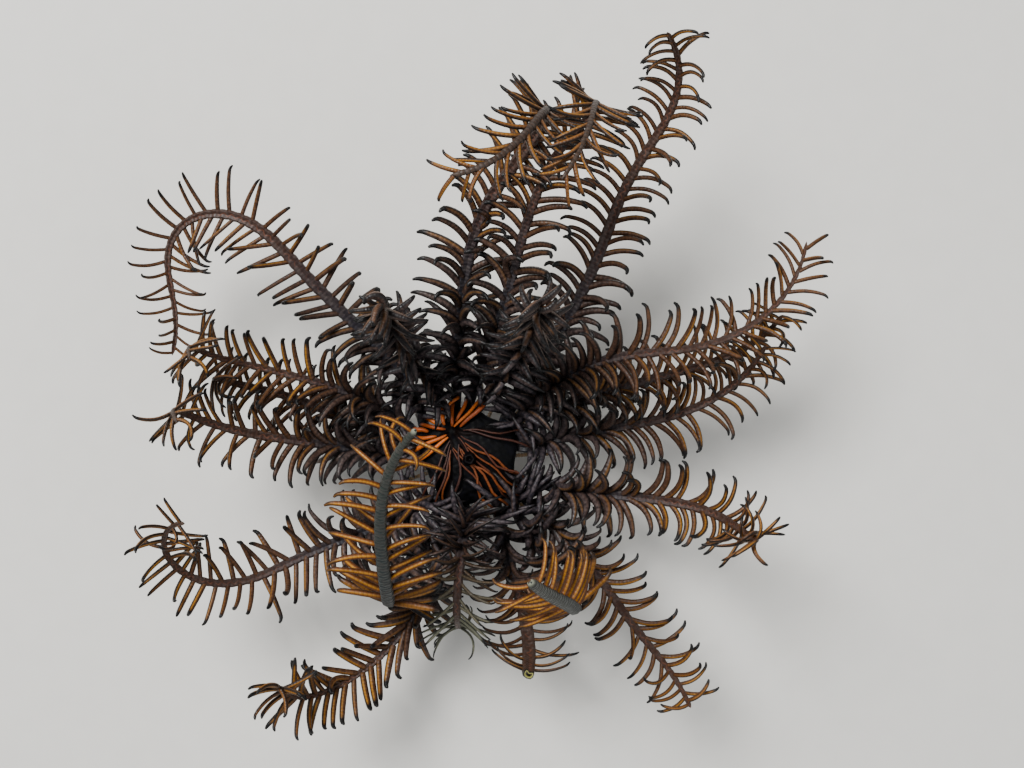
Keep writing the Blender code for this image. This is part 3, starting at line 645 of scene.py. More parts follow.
def arm_material(colours):
    """Skin over brachials, a little duller than the pinnules.

    Slate and finely banded behind, slate to brown before, with a faint zigzag. The arm_map has u
    once round the arm, v in brachials. cut is 1 on the face of a broken end.
    """
    mat, add, where = new_material("arm_skin", Roughness=0.5, Specular_IOR_Level=0.3)
    v = add("y", add("map", uv_map="arm_map"))
    place, oral, lateral, brown, cut = (add("attribute", attribute_name=name) for name in (
        "place", "oral", "lateral", "brown", "cut"))
    mottle = add("noise", where, lumps(0.9))
    slate = add("ramp", place, stops=((0.0, "#1d1f24"), (0.2, "#262b2d"), (0.6, colours.slate[:]),
                                      (1.0, "#2e332d")))
    umber = add("ramp", place, stops=((0.0, "#1d1f24"), (0.2, "#242124"), (0.6, "#2d211d"),
                                      (1.0, "#38281c")))
    before = add("ramp", place, stops=((0.0, "#1c1e25"), (0.25, "#25242a"), (0.5, colours.umber[:]),
                                       (1.0, "#402b20")))
    # Brachials are wedges, so the bands between them lean to and fro
    wedge = product(add, lateral, add("COSINE", product(add, v, math.pi)))
    level = add("ADD", v, product(add, wedge, 0.12))
    joint = apart(add, add("FRACT", level), 0.5)
    band = product(add, add("spread", joint, 0.34, 0.5), add("spread", oral, 0.2, -0.2, 0.35, 0.75))
    track = product(add, add("SUBTRACT", add("PINGPONG", v, 1.0), 0.5), 0.6)
    zigzag = product(add, add("spread", apart(add, lateral, track), 0.2, 0.06),
                     add("spread", oral, 0.3, 0.5), add("spread", place, 0.25, 0.6, 0.0, 0.26),
                     add("spread", add("noise", where, lumps(3.0)), 0.4, 0.6, 0.1, 1.0))
    pale = product(add, add("spread", place, 0.985, 0.999), add("spread", brown, 0.1, 0.02))
    colour = layered(add, slate, (brown, umber), (add("spread", oral, -0.1, 0.35), before),
                     (add("spread", mottle, 0.4, 0.7, 0.0, 0.35), "#524a45"), (band, "#0f0f11"),
                     (zigzag, "#96593f"), (pale, "#8f927f"), (add("spread", cut, 0.05, 0.3), "#191611"),
                     (add("spread", cut, 0.55, 0.8), "#8b8849"))
    return wired(mat, Base_Color=colour, Roughness=add("spread", mottle, 0.3, 0.7, 0.42, 0.62),
                 Normal=add("bump", add("SUBTRACT", mottle, joint), 0.12 * MM))


def disc_material(colours):
    """Moist leathery skin of the disc, which hardly shines: blue-black with brown grooves, darkened to
    near black as painted shade of the pinnules arched over it.
    """
    mat, add, where = new_material("disc_skin", Roughness=0.5, Specular_IOR_Level=0.1)
    mottle = add("noise", where, lumps(1.2))
    groove = product(add, add("attribute", attribute_name="groove"), 0.5)
    # Base colour near black: the skin's own blue-black with painted shade of the pinnules over it
    colour = layered(add, colours.disc[:], (add("spread", mottle, 0.45, 0.7), "#07070d"),
                     (groove, "#1d0f0a"))
    return wired(mat, Base_Color=colour, Roughness=add("spread", mottle, 0.3, 0.7, 0.45, 0.7),
                 Normal=add("bump", add("noise", where, lumps(0.35)), 0.06 * MM))


def oral_material(colours):
    """Thin skin over the slender oral pinnules: a burnt orange line between brown edges."""
    mat, add, where = new_material("oral_pinnule_skin", Roughness=0.42, Specular_IOR_Level=0.3)
    t, hue, amber, ridge = (add("attribute", attribute_name=name) for name in (
        "along", "hue", "amber", "ridge"))
    bright = add("mix", hue, "#8a3c12", colours.orange[:])
    dull = add("mix", hue, "#2c1a16", "#562b12")
    line = add("mix", add("spread", amber, 0.3, 0.95), dull, bright)
    joint = apart(add, add("FRACT", product(add, t, ORAL_PINNULARS)), 0.5)
    colour = layered(add, "#180e10", (add("spread", ridge, 0.0, 0.85), line),
                     (add("spread", t, 0.08, 0.32, 0.85, 0.0), "#17120f"),
                     (add("spread", joint, 0.36, 0.5, 0.0, 0.4), "#1a0e0a"))
    return wired(mat, Base_Color=colour, Normal=add("bump", add("noise", where, lumps(0.4)), 0.1 * MM))


def cirrus_material(colours):
    """Bare jointed calcite under a thin skin: bony yellow-brown, darker at the joints."""
    mat, add, where = new_material("cirrus_calcite", Roughness=0.45)
    t, joint = (add("attribute", attribute_name=name) for name in ("along", "joint"))
    mottle = add("noise", where, lumps(0.7))
    colour = layered(add, "#5a4226", (add("spread", mottle, 0.35, 0.7), colours.cirrus[:]),
                     (add("spread", joint, 0.4, 1.0, 0.0, 0.7), "#2e2118"),
                     (add("spread", t, 0.9, 1.0), "#4a3a2a"))
    return wired(mat, Base_Color=colour, Normal=add("bump", mottle, 0.1 * MM))


def claw_material():
    """Clear hard calcite of the claws: amber-brown, with small sharp highlights."""
    mat, add, where = new_material("claw_calcite", Roughness=0.25)
    return wired(mat, Base_Color=add("mix", add("noise", where, lumps(0.4)), "#3a2a1c", "#7a5a34"),
                 Normal=add("bump", add("noise", where, lumps(0.2)), 0.04 * MM))


def floor_material():
    """Plain matt floor, pale and all but even, so that only the shadow shows on it."""
    mat, add, where = new_material("floor_matt", Roughness=0.85)
    return wired(mat, Base_Color=add("mix", add("noise", where, lumps(6.0)), "#d9d6cf", "#e0ddd6"))


# Arm skins

def arm_stations(line, start, sizes):
    """Rings along an arm from inside its fork: places, half widths, oral sides, brachials, shares."""
    joint = sizes.brachial / MM
    count = int(line.length / joint)
    part, swell = np.array(BRACHIAL_RINGS).T
    s = ((np.arange(count)[:, None] + part) * joint).ravel()
    s = s[s < line.length - ARM_POINT]
    number = s / joint
    at, _, up, right, half = line.frames(s)
    half = half * np.tile(swell, count)[:len(s)]
    side = np.where(np.floor(number) % 2, 1, -1)
    at = at + right * (side * ZIGZAG * ease(s / ZIGZAG_FROM))[:, None]
    lead = np.arange(len(ROOT_WIDE))
    t = (lead / len(lead))[:, None]
    at = np.concatenate([start * (1 - t) + at[0] * t, at])
    half = np.concatenate([np.array(ROOT_WIDE) * half[0], half])
    up = np.concatenate([np.repeat(up[:1], len(lead), 0), up])
    number = np.concatenate([number[0] - (len(lead) - lead) * ROOT_STEP, number])
    s = np.concatenate([np.zeros(len(lead)), s])
    return at, half, up, number, s / line.length


def end_rings(line, table, rows):
    """Adds an arm's last rings, by their table, to its others."""
    back, wide, onward = np.array(table).T
    s = line.length - ARM_POINT * back
    at, _, up, _, half = line.frames(s)
    more = (at, half * wide, up, rows[3][-1] + onward, s / line.length)
    return [np.concatenate(pair) for pair in zip(rows, more)]


def stump_end(ob, line):
    """Turns a broken arm's end into a rim round a hollow face, by insets of its end face."""
    tip, onward = Vector((line.at[-1] + AXIS) * MM), Vector(line.fore[-1])
    only(ob)
    bpy.ops.object.mode_set(mode="EDIT")
    bpy.ops.mesh.select_mode(type="FACE")
    bpy.ops.mesh.select_all(action="DESELECT")
    bm = bmesh.from_edit_mesh(ob.data)
    for face in bm.faces:
        near = (face.calc_center_median() - tip).length < STUMP_NEAR
        if near and face.normal @ onward > 0.9:
            face.select = True
    bmesh.update_edit_mesh(ob.data)
    bpy.ops.mesh.dissolve_faces()
    before = len(bm.verts)
    for thickness, move in STUMP_INSETS:
        bpy.ops.mesh.inset(thickness=thickness)
        bpy.ops.transform.translate(value=onward * STUMP_MOVE * move)
    bpy.ops.object.mode_set(mode="OBJECT")
    new = np.arange(len(ob.data.vertices)) - before
    ring = (len(new) - before) / len(STUMP_INSETS)
    cut = np.where(new < 0, 0.0, np.where(new < ring * 2, 0.4, 1.0))
    ob.data.attributes["cut"].data.foreach_set("value", cut.astype(np.float32))


def trunk(start, end, table, half, oval):
    """A ray's tube from one fork to the next, by the table of its rings."""
    from_end, far, wide = np.array(table).T
    points = np.where(from_end[:, None], end, start) + unit(end - start) * far[:, None]
    ob, rings = swept(points, wide * half, np.repeat(UP[None], len(points), 0), oval)
    finish_tube(ob, rings, np.zeros(len(points)), np.arange(len(points)) * 0.5, oval)
    return ob


def make_ray_skin(letter, lines, sizes, material, section, oval):
    """One skin for a ray and its arms, from the radial plates to the arms' tips."""
    azimuth = RAY_AZ[letter]
    start, fork = (polar(r, azimuth, RAY_Z) for r in (RADIAL_IN + GAP, FORK_1))
    pieces = [trunk(start, fork, TRUNK_RINGS, RAY_HALF[0], oval)]
    for sign in (-1, 1):
        end = fork_at(azimuth, sign)
        pieces.append(trunk(fork, end, BRANCH_RINGS, RAY_HALF[1], oval))
        for name, line in lines.items():
            if name[0] != letter or (ARMS[name][0] - azimuth) * sign <= 0:
                continue
            rows = arm_stations(line, end - unit(line.at[0] - end) * BRANCH_SINK, sizes)
            rows = end_rings(line, BROKEN_RINGS if name in BROKEN else POINT_RINGS, rows)
            at, half, up, number, u = rows
            middle, tip = FRINGE[name]["slim"]
            half = half * along(((0, 1), (0.1, 1), (0.45, middle), (1, tip)), u)
            ob, rings = swept(at, half, up, section)
            finish_tube(ob, rings, u, number, section, FRINGE[name]["brown"])
            if name in BROKEN:
                stump_end(ob, line)
            pieces.append(ob)
    nodes = [n for n in frame["nodes"] if n == "ray_" + letter or n.startswith("arm_" + letter)]
    settle(joined(pieces), "ray_%s_skin" % letter, material, "arm", *nodes, angle=50)


def finish_tube(ob, rings, u, number, section, brown=1.0):
    """Attributes and map of a tube of arm or ray, then its caps are closed."""
    me = ob.data
    across, up = np.array([tuple(p.co)[:2] for p in section.data.splines[0].points]).T
    for name, given in (("place", np.asarray(u)[:, None]), ("oral", up), ("lateral", across)):
        set_attribute(me, name, given, rings)
    set_attribute(me, "brown", brown)
    set_attribute(me, "cut", 0.0)
    tube_map(me, rings, number, "arm_map")
    weld(ob)


# Pinnules

def changed(way):
    """How much a pinnule is changed by a way of shortening, lifting and leaning it."""
    shorter, lift, lean = way
    return (1 - shorter) * 60 + abs(lift) * 0.6 + abs(lean) * 0.8


# The ways to bend a pinnule clear, the least changed first
BENDS = sorted(((shorter, lift, lean) for shorter in (1.0, 0.85, 0.7, 0.5)
                for lift in (0, 9, -9, 18, -18, 30, 45, -32, 60) for lean in (0, -12, 12, -24)),
               key=changed)

# Of the space round the crown: how clear pinnules keep, how far they may press in near the crown and
# over the disc's edge, a cell, the stretch of its own arm that a pinnule may touch, the least height
# over the floor, and the next cells
CLEAR, PRESS, COVER_PRESS = 0.04, 0.26, 0.22
CELL = 2.2
OWN_STRETCH = 6.5
FLOOR_CLEAR = 1.0
AROUND = [(a, b, c) for a in (-1, 0, 1) for b in (-1, 0, 1) for c in (-1, 0, 1)]


class Space:
    """What is already in place, as balls in cells, so that a new pinnule can be bent clear of it."""

    def __init__(self):
        self.cells = {}

    def add(self, points, halves, tag, stations=None):
        """Adds balls under a tag, and where they stand along an arm if they are one."""
        keys = np.floor(points / CELL).astype(int)
        for i, key in enumerate(map(tuple, keys)):
            s = -math.inf if stations is None else stations[i]
            self.cells.setdefault(key, []).append((*points[i], halves[i], tag, s))

    def free(self, points, halves, tag, s, clear, but=()):
        """True where points keep clear of all but the stretch of arm that they grow from."""
        if points[:, 2].min() < FLOOR_CLEAR:
            return False
        for p, h in zip(points, halves):
            i, j, k = (int(c // CELL) for c in p)
            for a, b, c in AROUND:
                for x, y, z, half, other, at in self.cells.get((i + a, j + b, k + c), ()):
                    if (other == tag and abs(at - s) < OWN_STRETCH) or other in but:
                        continue
                    near = h + half + clear
                    if (p[0] - x) ** 2 + (p[1] - y) ** 2 + (p[2] - z) ** 2 < near * near:
                        return False
        return True


# A pinnule's course: it bends a little past its end over the first part, and hooks over the last
BEND_PAST, BEND_BY = 1.15, 0.9
HOOK_FROM, HOOK_OVER = 0.8, 0.2
ROOT_ASIDE, ROOT_UP = 0.34, 0.3      # its root in the arm, in half widths


def sickle(root, start, end, length, hook):
    """A pinnule's points: out along start, bent toward end, its tip hooked further."""
    t = (ALONG[1:] + ALONG[:-1]) / 2
    inward = unit(end - start * (start @ end))
    bend = math.acos(min(1.0, max(-1.0, float(start @ end))))
    turn = bend * BEND_PAST * ease(t / BEND_BY) + hook * ease((t - HOOK_FROM) / HOOK_OVER)
    ways = np.cos(turn)[:, None] * start + np.sin(turn)[:, None] * inward
    steps = np.cumsum(ways * np.diff(ALONG)[:, None], 0)
    return root + np.concatenate([[[0, 0, 0]], steps]) * length


def pinnule_course(here, near, side, raised, leaned, swing, length, hook):
    """A pinnule's points from an arm, given in degrees how far it is raised, leaned and bent."""
    centre, fore, up, right, half = here
    out = right * side

    def way(lean, lift):
        lean, lift = math.radians(lean), math.radians(lift)
        return math.cos(lean) * fore + math.sin(lean) * (math.cos(lift) * out + math.sin(lift) * up)

    # Far out they rise from the arm and level off, near the crown they arch over and down
    low = min(max(raised * 0.6, -20), 26) * (1 - near) + (raised + 16) * near
    high = (raised + (raised - low) * 0.5) * (1 - near) + (raised - 18) * near
    start, end = way(leaned - swing / 2, low), way(leaned + swing / 2, high)
    root = centre + out * half * ROOT_ASIDE + up * half * ROOT_UP * math.sin(math.radians(low))
    return sickle(root, unit(start), unit(end), half + length, math.radians(hook))


# A pinnule's width from root to tip, stout near the crown and slender far out on an arm
STOUT = ((0.0, 0.82), (0.08, 0.94), (0.28, 1.0), (0.5, 0.9), (0.72, 0.66), (0.86, 0.46), (1.0, 0.2))
SLENDER = ((0.0, 0.9), (0.08, 1.0), (0.5, 0.95), (0.8, 0.82), (0.93, 0.66), (1.0, 0.36))


def pinnule_wide(half, near):
    """A pinnule's half widths at its rings."""
    return half * (along(STOUT, ALONG) * near + along(SLENDER, ALONG) * (1 - near))


def make_pinnules(name, rows, material):
    """One piece of many pinnules, each a six-sided tube with a blunt tip."""
    rings, each = len(ALONG), len(ALONG) * PIN_SIDES
    a = angles_round(PIN_SIDES)
    points = []
    for row in rows:
        ways = unit(np.gradient(row["at"], axis=0))
        top = unit(row["top"] - ways * (ways @ row["top"])[:, None])
        side = np.cross(ways, top)
        w = row["wide"][:, None, None]
        ring = row["at"][:, None] + w * (np.cos(a)[None, :, None] * side[:, None]
                                         + np.sin(a)[None, :, None] * top[:, None] * PIN_FLAT)
        points.append(ring.reshape(-1, 3))
    i, j = np.meshgrid(np.arange(rings - 1), np.arange(PIN_SIDES), indexing="ij")
    k = (j + 1) % PIN_SIDES
    faces = np.stack([(i + 1) * PIN_SIDES + j, (i + 1) * PIN_SIDES + k, i * PIN_SIDES + k,
                      i * PIN_SIDES + j], -1).reshape(-1, 4).tolist()
    faces += [list(range(PIN_SIDES)), list(range(each - PIN_SIDES, each))[::-1]]
    me = bpy.data.meshes.new(name)
    every = [[p + n * each for p in face] for n in range(len(rows)) for face in faces]
    me.from_pydata((np.concatenate(points) + AXIS) * MM, [], every)
    distal = np.repeat([-row["side"] for row in rows], each)
    set_attribute(me, "along", np.tile(np.repeat(ALONG, PIN_SIDES), len(rows)))
    set_attribute(me, "ridge", np.tile(np.sin(a), rings * len(rows)))
    set_attribute(me, "distal", np.tile(np.cos(a), rings * len(rows)) * distal)
    for key in ("place", "hue", "amber"):
        set_attribute(me, key, np.repeat([row[key] for row in rows], each))
    bake_map(me, rows, each)
    ob = bpy.data.objects.new(name, me)
    bpy.context.scene.collection.objects.link(ob)
    settle(ob, name, material, "arm", angle=75)


BAKE_PATCH = 0.003           # its size on the map


def bake_map(me, rows, each):
    """OFBake: each pinnule a small patch at its root's place on the unwrap of its arm's skin.

    The unwrap has the way round the arm across, half of it for each side, and the arm's length up.
    """
    index = corner_points(me)
    number, inside = index // each, index % each
    uv = np.stack([ALONG[inside // PIN_SIDES], inside % PIN_SIDES / PIN_SIDES], 1)
    past, corners = past_seam(me, uv[:, 1])
    uv[past & (corners == 4), 1] += 1
    roots = np.array([row["root"] for row in rows])
    set_map(me, "OFBake", roots[number] + (uv - 0.5) * BAKE_PATCH)


def disc_top(x, y):
    """Height of the disc's upper side."""
    return float(along(((0.23, DISC_Z[1]),) + DISC_TOP, math.hypot(x, y) / DISC_R))


# How far from the mouth each ray's oral pinnules end, how orange they are, and how many of the
# places at the feet of its arms have one
ORAL = {"A": (2.2, 0.4, 0.3), "B": (0.8, 1.0, 1.0), "C": (1.2, 1.0, 0.9), "D": (1.8, 0.4, 0.5),
        "E": (1.8, 0.45, 0.9)}
ORAL_HALF = 0.36
ORAL_AT, ORAL_APART = 1.2, 0.9       # where they stand on their arm, either side
ORAL_SHORT = 3.2                     # the least way from root to tip
ORAL_OVER = 0.7                      # how high their tips are over the disc
ORAL_MORE = (0, 0.8, 1.6, 2.4, 3.2, 4.2, 5.2, 6.4, 8)
ORAL_TURNS = (0, 8, -8, 15, -15, 22, -22)


def oral_pinnules(lines, space, seed):
    """The long slender pinnules of the arms' first joints, bent over the disc to the mouth."""
    draw = random.Random(seed)
    rows = []
    mouth = np.array([*MOUTH_AT, 0.0])
    t = ALONG[:, None]
    for i, (name, line) in enumerate(lines.items()):
        reach, orange, share = ORAL[name[0]]
        for side in (-1, 1):
            if draw.random() > share:
                continue
            at, _, up, right, half = (a[0] for a in line.frames(ORAL_AT + ORAL_APART * side))
            root = at + right * side * half * 0.5 + up * half * 0.3
            flat = (root - mouth) * (1, 1, 0)
            far = np.linalg.norm(flat)
            across = unit(np.cross(UP, flat))
            rise, down = UP - flat / far * 0.25, -flat / far + np.array([0, 0, -0.1])
            bright = orange > 0.8
            wide = ORAL_HALF * (1.5 if bright else 0.8) * draw.uniform(0.8, 1.15) * along(SLENDER, ALONG)
            wave, phase = draw.uniform(0.2, 0.9) * (0.3 if bright else 1.0), draw.uniform(0, 6.28)
            early = draw.uniform(0, 2.4)
            askew = draw.gauss(0, 16)
            for more, swing in ((m, w) for m in ORAL_MORE for w in ORAL_TURNS):
                end_at = min(reach + more + early, far - ORAL_SHORT)
                turn = math.atan2(flat[1], flat[0]) + math.radians(swing + askew)
                tip = mouth + end_at * np.array([math.cos(turn), math.sin(turn), 0])
                tip[2] = disc_top(*tip[:2]) + ORAL_OVER
                span = np.linalg.norm(tip - root)
                points = ((2 * t ** 3 - 3 * t ** 2 + 1) * root + (t ** 3 - 2 * t ** 2 + t) * rise * span
                          + (3 * t ** 2 - 2 * t ** 3) * tip + (t ** 3 - t ** 2) * down * span
                          + across * wave * np.sin(t * far * 0.6 + phase) * t * (1 - t) * 4)
                if space.free(points[4:], wide[4:], name, ORAL_AT, CLEAR, ("disc",)):
                    space.add(points, wide, "oral")
                    rows.append({"at": points, "wide": wide, "top": UP, "side": 1, "hue": draw.random(),
                                 "place": min(1, far / 20), "amber": orange,
                                 "root": ((i + 0.5 + side * 0.2) / len(lines), 0.5)})
                    break
    return rows


# How many stout pinnules each ray's arms arch inward over the disc's edge, and times their length
COVERS = {"A": (10, 1.35), "B": (2, 0.7), "C": (5, 0.85), "D": (12, 1.45), "E": (12, 1.55)}
COVER_SPAN = (0.4, 4.8)              # along the arm
COVER_TURNS = (0, 16, -16, 32, -32, 52, -52, 75, -75)
COVER_SHORTER = (1.0, 0.85, 0.7, 0.55, 0.4)


def cover_pinnules(name, line, space, draw):
    """The stout pinnules of an arm's foot, arched inward over the disc's edge."""
    rows = []
    count, reach = COVERS[name[0]]
    high = reach > 1
    for k, s in enumerate(np.linspace(*COVER_SPAN, count)):
        side = 1 if k % 2 else -1
        centre, _, _, right, half = (a[0] for a in line.frames(s))
        inward = -unit(centre * (1, 1, 0))
        across = np.cross(UP, inward)
        wide = pinnule_wide(draw.uniform(0.66, 0.92), 1.0)
        long = draw.uniform(6.2, 9.6) * reach
        hook, hue = math.radians(draw.uniform(40, 90)), draw.random()
        turn, lift = draw.gauss(0, 30), math.radians(draw.uniform(-22, 4) + (18 if high else 0))
        for more, shorter in ((m, w) for w in COVER_SHORTER for m in COVER_TURNS):
            a = math.radians(turn + more)
            level = math.cos(a) * inward + math.sin(a) * across
            start = unit(UP * 0.9 + right * side * 0.3 + level * (0.45 if high else 0.2))
            end = unit(level * math.cos(lift) + UP * math.sin(lift))
            points = sickle(centre + right * side * half * 0.3, start, end, long * shorter, hook)
            if space.free(points[3:], wide[3:], name, s, -COVER_PRESS):
                space.add(points[2:], wide[2:], name + "_cover")
                rows.append({"at": points, "wide": wide, "top": UP, "side": side, "place": 0.0,
                             "hue": hue, "amber": 0.0, "root": (0.5 + 0.2 * side, s / line.length)})
                break
    return rows


FIRST_PINNULE = 3.0
BARE_END, BARE_STUMP = 0.5, 2.6      # the bare stretch before a tip, and before a broken end


def place_pinnules(name, line, sizes, space, draw):
    """The pinnules of one arm, each bent clear of what is already there."""
    own = FRINGE[name]
    step = sizes.pinnule_step / MM * own["step"]
    last = line.length - (BARE_STUMP if name in BROKEN else BARE_END)
    rows = []
    s, k = FIRST_PINNULE, 0
    while s < last:
        u = s / line.length
        near = float(1 - ease((s - NEAR[0]) / (NEAR[1] * own["near"] - NEAR[0])))
        here = tuple(a[0] for a in line.frames(s))
        place = u if own["near"] < 2 else 0.3 * u
        thick = float(along(PIN_HALF, place)) * own["thick"] * draw.uniform(0.86, 1.08)
        wide = pinnule_wide(thick, near)
        pair = (1 if k // 2 % 2 else -1) * PAIR_LEAN * (1 - near)
        level = ROWS[k // 2 % 3] * near
        uneven = own["wild"][0] * (1 - u) + own["wild"][1] * ease((u - 0.7) * 4)
        raised = along(PIN_RAISE, u) + station(own["raised"], u) + draw.gauss(level, 9 + 5 * u + uneven)
        side = 1 if k % 2 else -1
        leaned = (LEAN_NEAR * near + LEAN_FAR * (1 - near) + station(own["lean"], u)
                  + own["askew"] * side + pair + draw.gauss(0, 6 + 5 * near))
        swing = SWING_NEAR * near + SWING_FAR * station(own["curl"], u) * (1 - near)
        swing = swing * draw.uniform(0.7, 1.2)
        long = own["long"] * draw.uniform(0.88, 1.08) * float(along(PIN_LONG, u))
        hook = along(PIN_HOOK, u) * draw.uniform(0.5, 1.4)
        hue = draw.random()
        amber = station(own["amber"], u)
        golden = float(ease((amber - 0.4) / 0.2))
        for shorter, lift, lean in BENDS:
            points = pinnule_course(here, near, side, raised + lift, leaned + lean, swing,
                                    shorter * long, hook)
            if space.free(points[3:], wide[3:], name, s, CLEAR - PRESS * near):
                space.add(points[2:], wide[2:], name + "_pinnule")
                top = here[2] * (1 - golden) + UP * golden
                rows.append({"at": points, "wide": wide, "top": top, "side": side, "place": place,
                             "hue": hue, "amber": amber, "root": (0.5 + 0.2 * side, u)})
                break
        s += step * (1 - NEAR_CLOSER * near)
        k += 1
    return rows


# Radii of the balls for a ray's branches and for the disc, and how far the disc's stand below it
BRANCH_BALL, DISC_BALL, DISC_DROP = 1.4, 0.75, 0.55
BALL_STEP = 0.7              # from ball to ball along an arm


def fill_space(lines):
    """Balls for arms, rays and the disc's dome."""
    space = Space()
    for name, line in lines.items():
        s = np.arange(0, line.length, BALL_STEP)
        at, _, _, _, half = line.frames(s)
        space.add(at, half, name, s)
    t = np.linspace(0, 1, 7)[:, None]
    for azimuth in RAY_AZ.values():
        fork = polar(FORK_1, azimuth, RAY_Z)
        for sign in (-1, 1):
            space.add(fork + (fork_at(azimuth, sign) - fork) * t, [BRANCH_BALL] * len(t), "ray")
    for r in np.arange(0, DISC_R + 0.6, 0.8):
        z = DISC_Z[0] + 3.3 * math.sqrt(max(0.06, 1 - (r / (DISC_R * 1.08)) ** 2)) - DISC_DROP
        for azimuth in np.arange(0, 360, 45 / max(r, 0.8)):
            space.add(polar(r, azimuth, z)[None], [DISC_BALL], "disc")
    return space


# Crown

def rounded(profile, times=2):
    """A profile with its corners cut."""
    points = np.array(profile, float)
    for _ in range(times):
        a, b = points[:-1], points[1:]
        cut = np.stack([a * 0.75 + b * 0.25, a * 0.25 + b * 0.75], 1).reshape(-1, 2)
        points = np.concatenate([points[:1], cut[1:-1], points[-1:]])
    return points


def turned(profile, sides=48):
    """A profile of radius and height turned round the crown's axis, as one closed mesh."""
    ob, _ = poly_path(np.array([(r, 0, z) for r, z in profile]) * MM)
    only(ob)
    bpy.ops.object.convert(target="MESH")
    turn = ob.modifiers.new("turn", "SCREW")
    turn.steps = turn.render_steps = sides
    turn.use_merge_vertices = True
    turn.merge_threshold = 0.001 * MM
    bpy.ops.object.modifier_apply(modifier="turn")
    weld(ob, 0.002 * MM)
    return ob


def points_of(me):
    """A mesh's points in millimetres."""
    co = np.empty(len(me.vertices) * 3, np.float32)
    me.vertices.foreach_get("co", co)
    return co.reshape(-1, 3).astype(float) / MM


def put_points(me, points):
    """Moves a mesh's points to places given from the crown's axis."""
    me.vertices.foreach_set("co", ((points + AXIS) * MM).astype(np.float32).ravel())
    me.update()


def make_disc(colours):
    """The soft disc with its lobes, mouth and five food grooves."""
    low, top = DISC_Z
    profile = [(0, top), (2.3, top)] + [(DISC_R * r, z) for r, z in DISC_TOP]
    profile += [(DISC_R * 0.97, low + 0.35), (DISC_R * 0.86, low), (DISC_R * 0.45, low), (0, low)]
    fine = rounded(profile)
    far = distances(fine)
    even = np.linspace(0, far[-1], DISC_RINGS)
    fine = np.stack([np.interp(even, far, fine[:, 0]), np.interp(even, far, fine[:, 1])], 1)
    ob = turned(fine, DISC_SIDES)
    x, y, z = points_of(ob.data).T
    r = np.hypot(x, y)
    around = np.degrees(np.arctan2(y, x))
    near = np.min([np.abs((around - a + 180) % 360 - 180) for a in RAY_AZ.values()], 0)
    grow = 1 + DISC_LOBE * (r / DISC_R) ** 2 * np.cos(np.radians(near * 5))
    x, y = x * grow, y * grow
    groove = np.zeros(len(x))
    for azimuth in RAY_AZ.values():
        a, b = np.array(MOUTH_AT), polar(DISC_R * 1.05, azimuth, 0)[:2]
        way = (b - a) / np.linalg.norm(b - a)
        s = (x - a[0]) * way[0] + (y - a[1]) * way[1]
        off = (x - a[0]) * -way[1] + (y - a[1]) * way[0] + GROOVE_WAVER * np.sin(s * 0.9 + azimuth)
        groove = np.maximum(groove, np.exp(-(off / GROOVE_HALF) ** 2) * ease(s / 0.8))
    upper = ease((z - low - 0.7) / 0.6)
    far = np.hypot(x - MOUTH_AT[0], y - MOUTH_AT[1]) / MOUTH_R
    z = z - upper * (MOUTH_DEEP * np.exp(-far * far) + GROOVE_DEEP * groove)
    z = z + upper * 0.05 * np.sin(3.1 * x + 1.3 * np.sin(2.3 * y)) * np.sin(2.7 * y + x)
    put_points(ob.data, np.stack([x, y, z], 1))
    set_attribute(ob.data, "groove", groove * upper)
    settle(ob, "disc_skin", disc_material(colours), "disc", "disc")


def make_papilla(colours):
    """The anal papilla: a puckered tube of the disc's skin."""
    top = DISC_Z[1]
    foot, tall = top - 0.3, top + ANUS_TALL
    profile = [(0, foot), (ANUS_R, foot), (ANUS_R * 0.95, foot + 0.8), (ANUS_R * 0.8, top + 1.1),
               (ANUS_R * 0.6, top + 2.1), (ANUS_R * 0.62, tall - 0.3), (ANUS_R * 0.55, tall),
               (ANUS_R * 0.35, tall - 0.1), (ANUS_R * 0.22, tall - 0.7), (0, tall - 1.0)]
    ob = turned(rounded(profile))
    x, y, z = points_of(ob.data).T
    a = np.arctan2(y, x)
    pucker = 1 + 0.09 * np.cos(5 * a + 0.6 * np.sin(2 * a)) * ease((z - top - 1.0) / 1.5)
    put_points(ob.data, np.stack([x * pucker, y * pucker, z], 1))
    set_attribute(ob.data, "groove", ease((z - tall + 0.9) / 0.9) * 0.25)
    settle(ob, "anal_papilla_skin", disc_material(colours), "anal_cone", "anal_cone")


def cirrus_path(k, free):
    """A cirrus's points, out from the centrodorsal, arched and down to the floor, and its ridge."""
    total = CIRRI_FREE if free else CIRRI
    azimuth = 360.0 * (k + 0.5 * free) / total + 9 * math.sin(2.3 * k + free)
    reach = (FREE_REACH if free else CIRRUS_REACH) + REACH_VARIES * math.sin(1.7 * k + 0.6)
    z = CD_Z[0] + (2.2 if free else 1.1) + 0.25 * math.sin(3.1 * k)
    if free:
        path = ((CIRRUS_ROOT, z), (CIRRUS_ROOT + 3.4, z + 0.7), (reach, 7.6), (reach + 1.8, 4.4),
                (reach + 0.6, 2.3))
    else:
        path = ((CIRRUS_ROOT, z), (CIRRUS_ROOT + 3.8, z + 0.5), (reach - 3.4, 5.2),
                (reach - 1.4, 1.6), (reach + 0.35, CIRRUS_HALF), (reach + FOOT_END, CIRRUS_HALF))
    return np.array([polar(r, azimuth, height) for r, height in path]), polar(1, azimuth, 1)


def even_points(path, step):
    """Points a step apart on a smooth curve through a path's own points."""
    u = np.linspace(0, 1, 200)
    fine = np.stack([keyed(path[:, i], u) for i in range(3)], 1)
    far = distances(fine)
    s = np.arange(0, far[-1], step)
    return np.stack([np.interp(s, far, fine[:, i]) for i in range(3)], 1), s, far[-1]


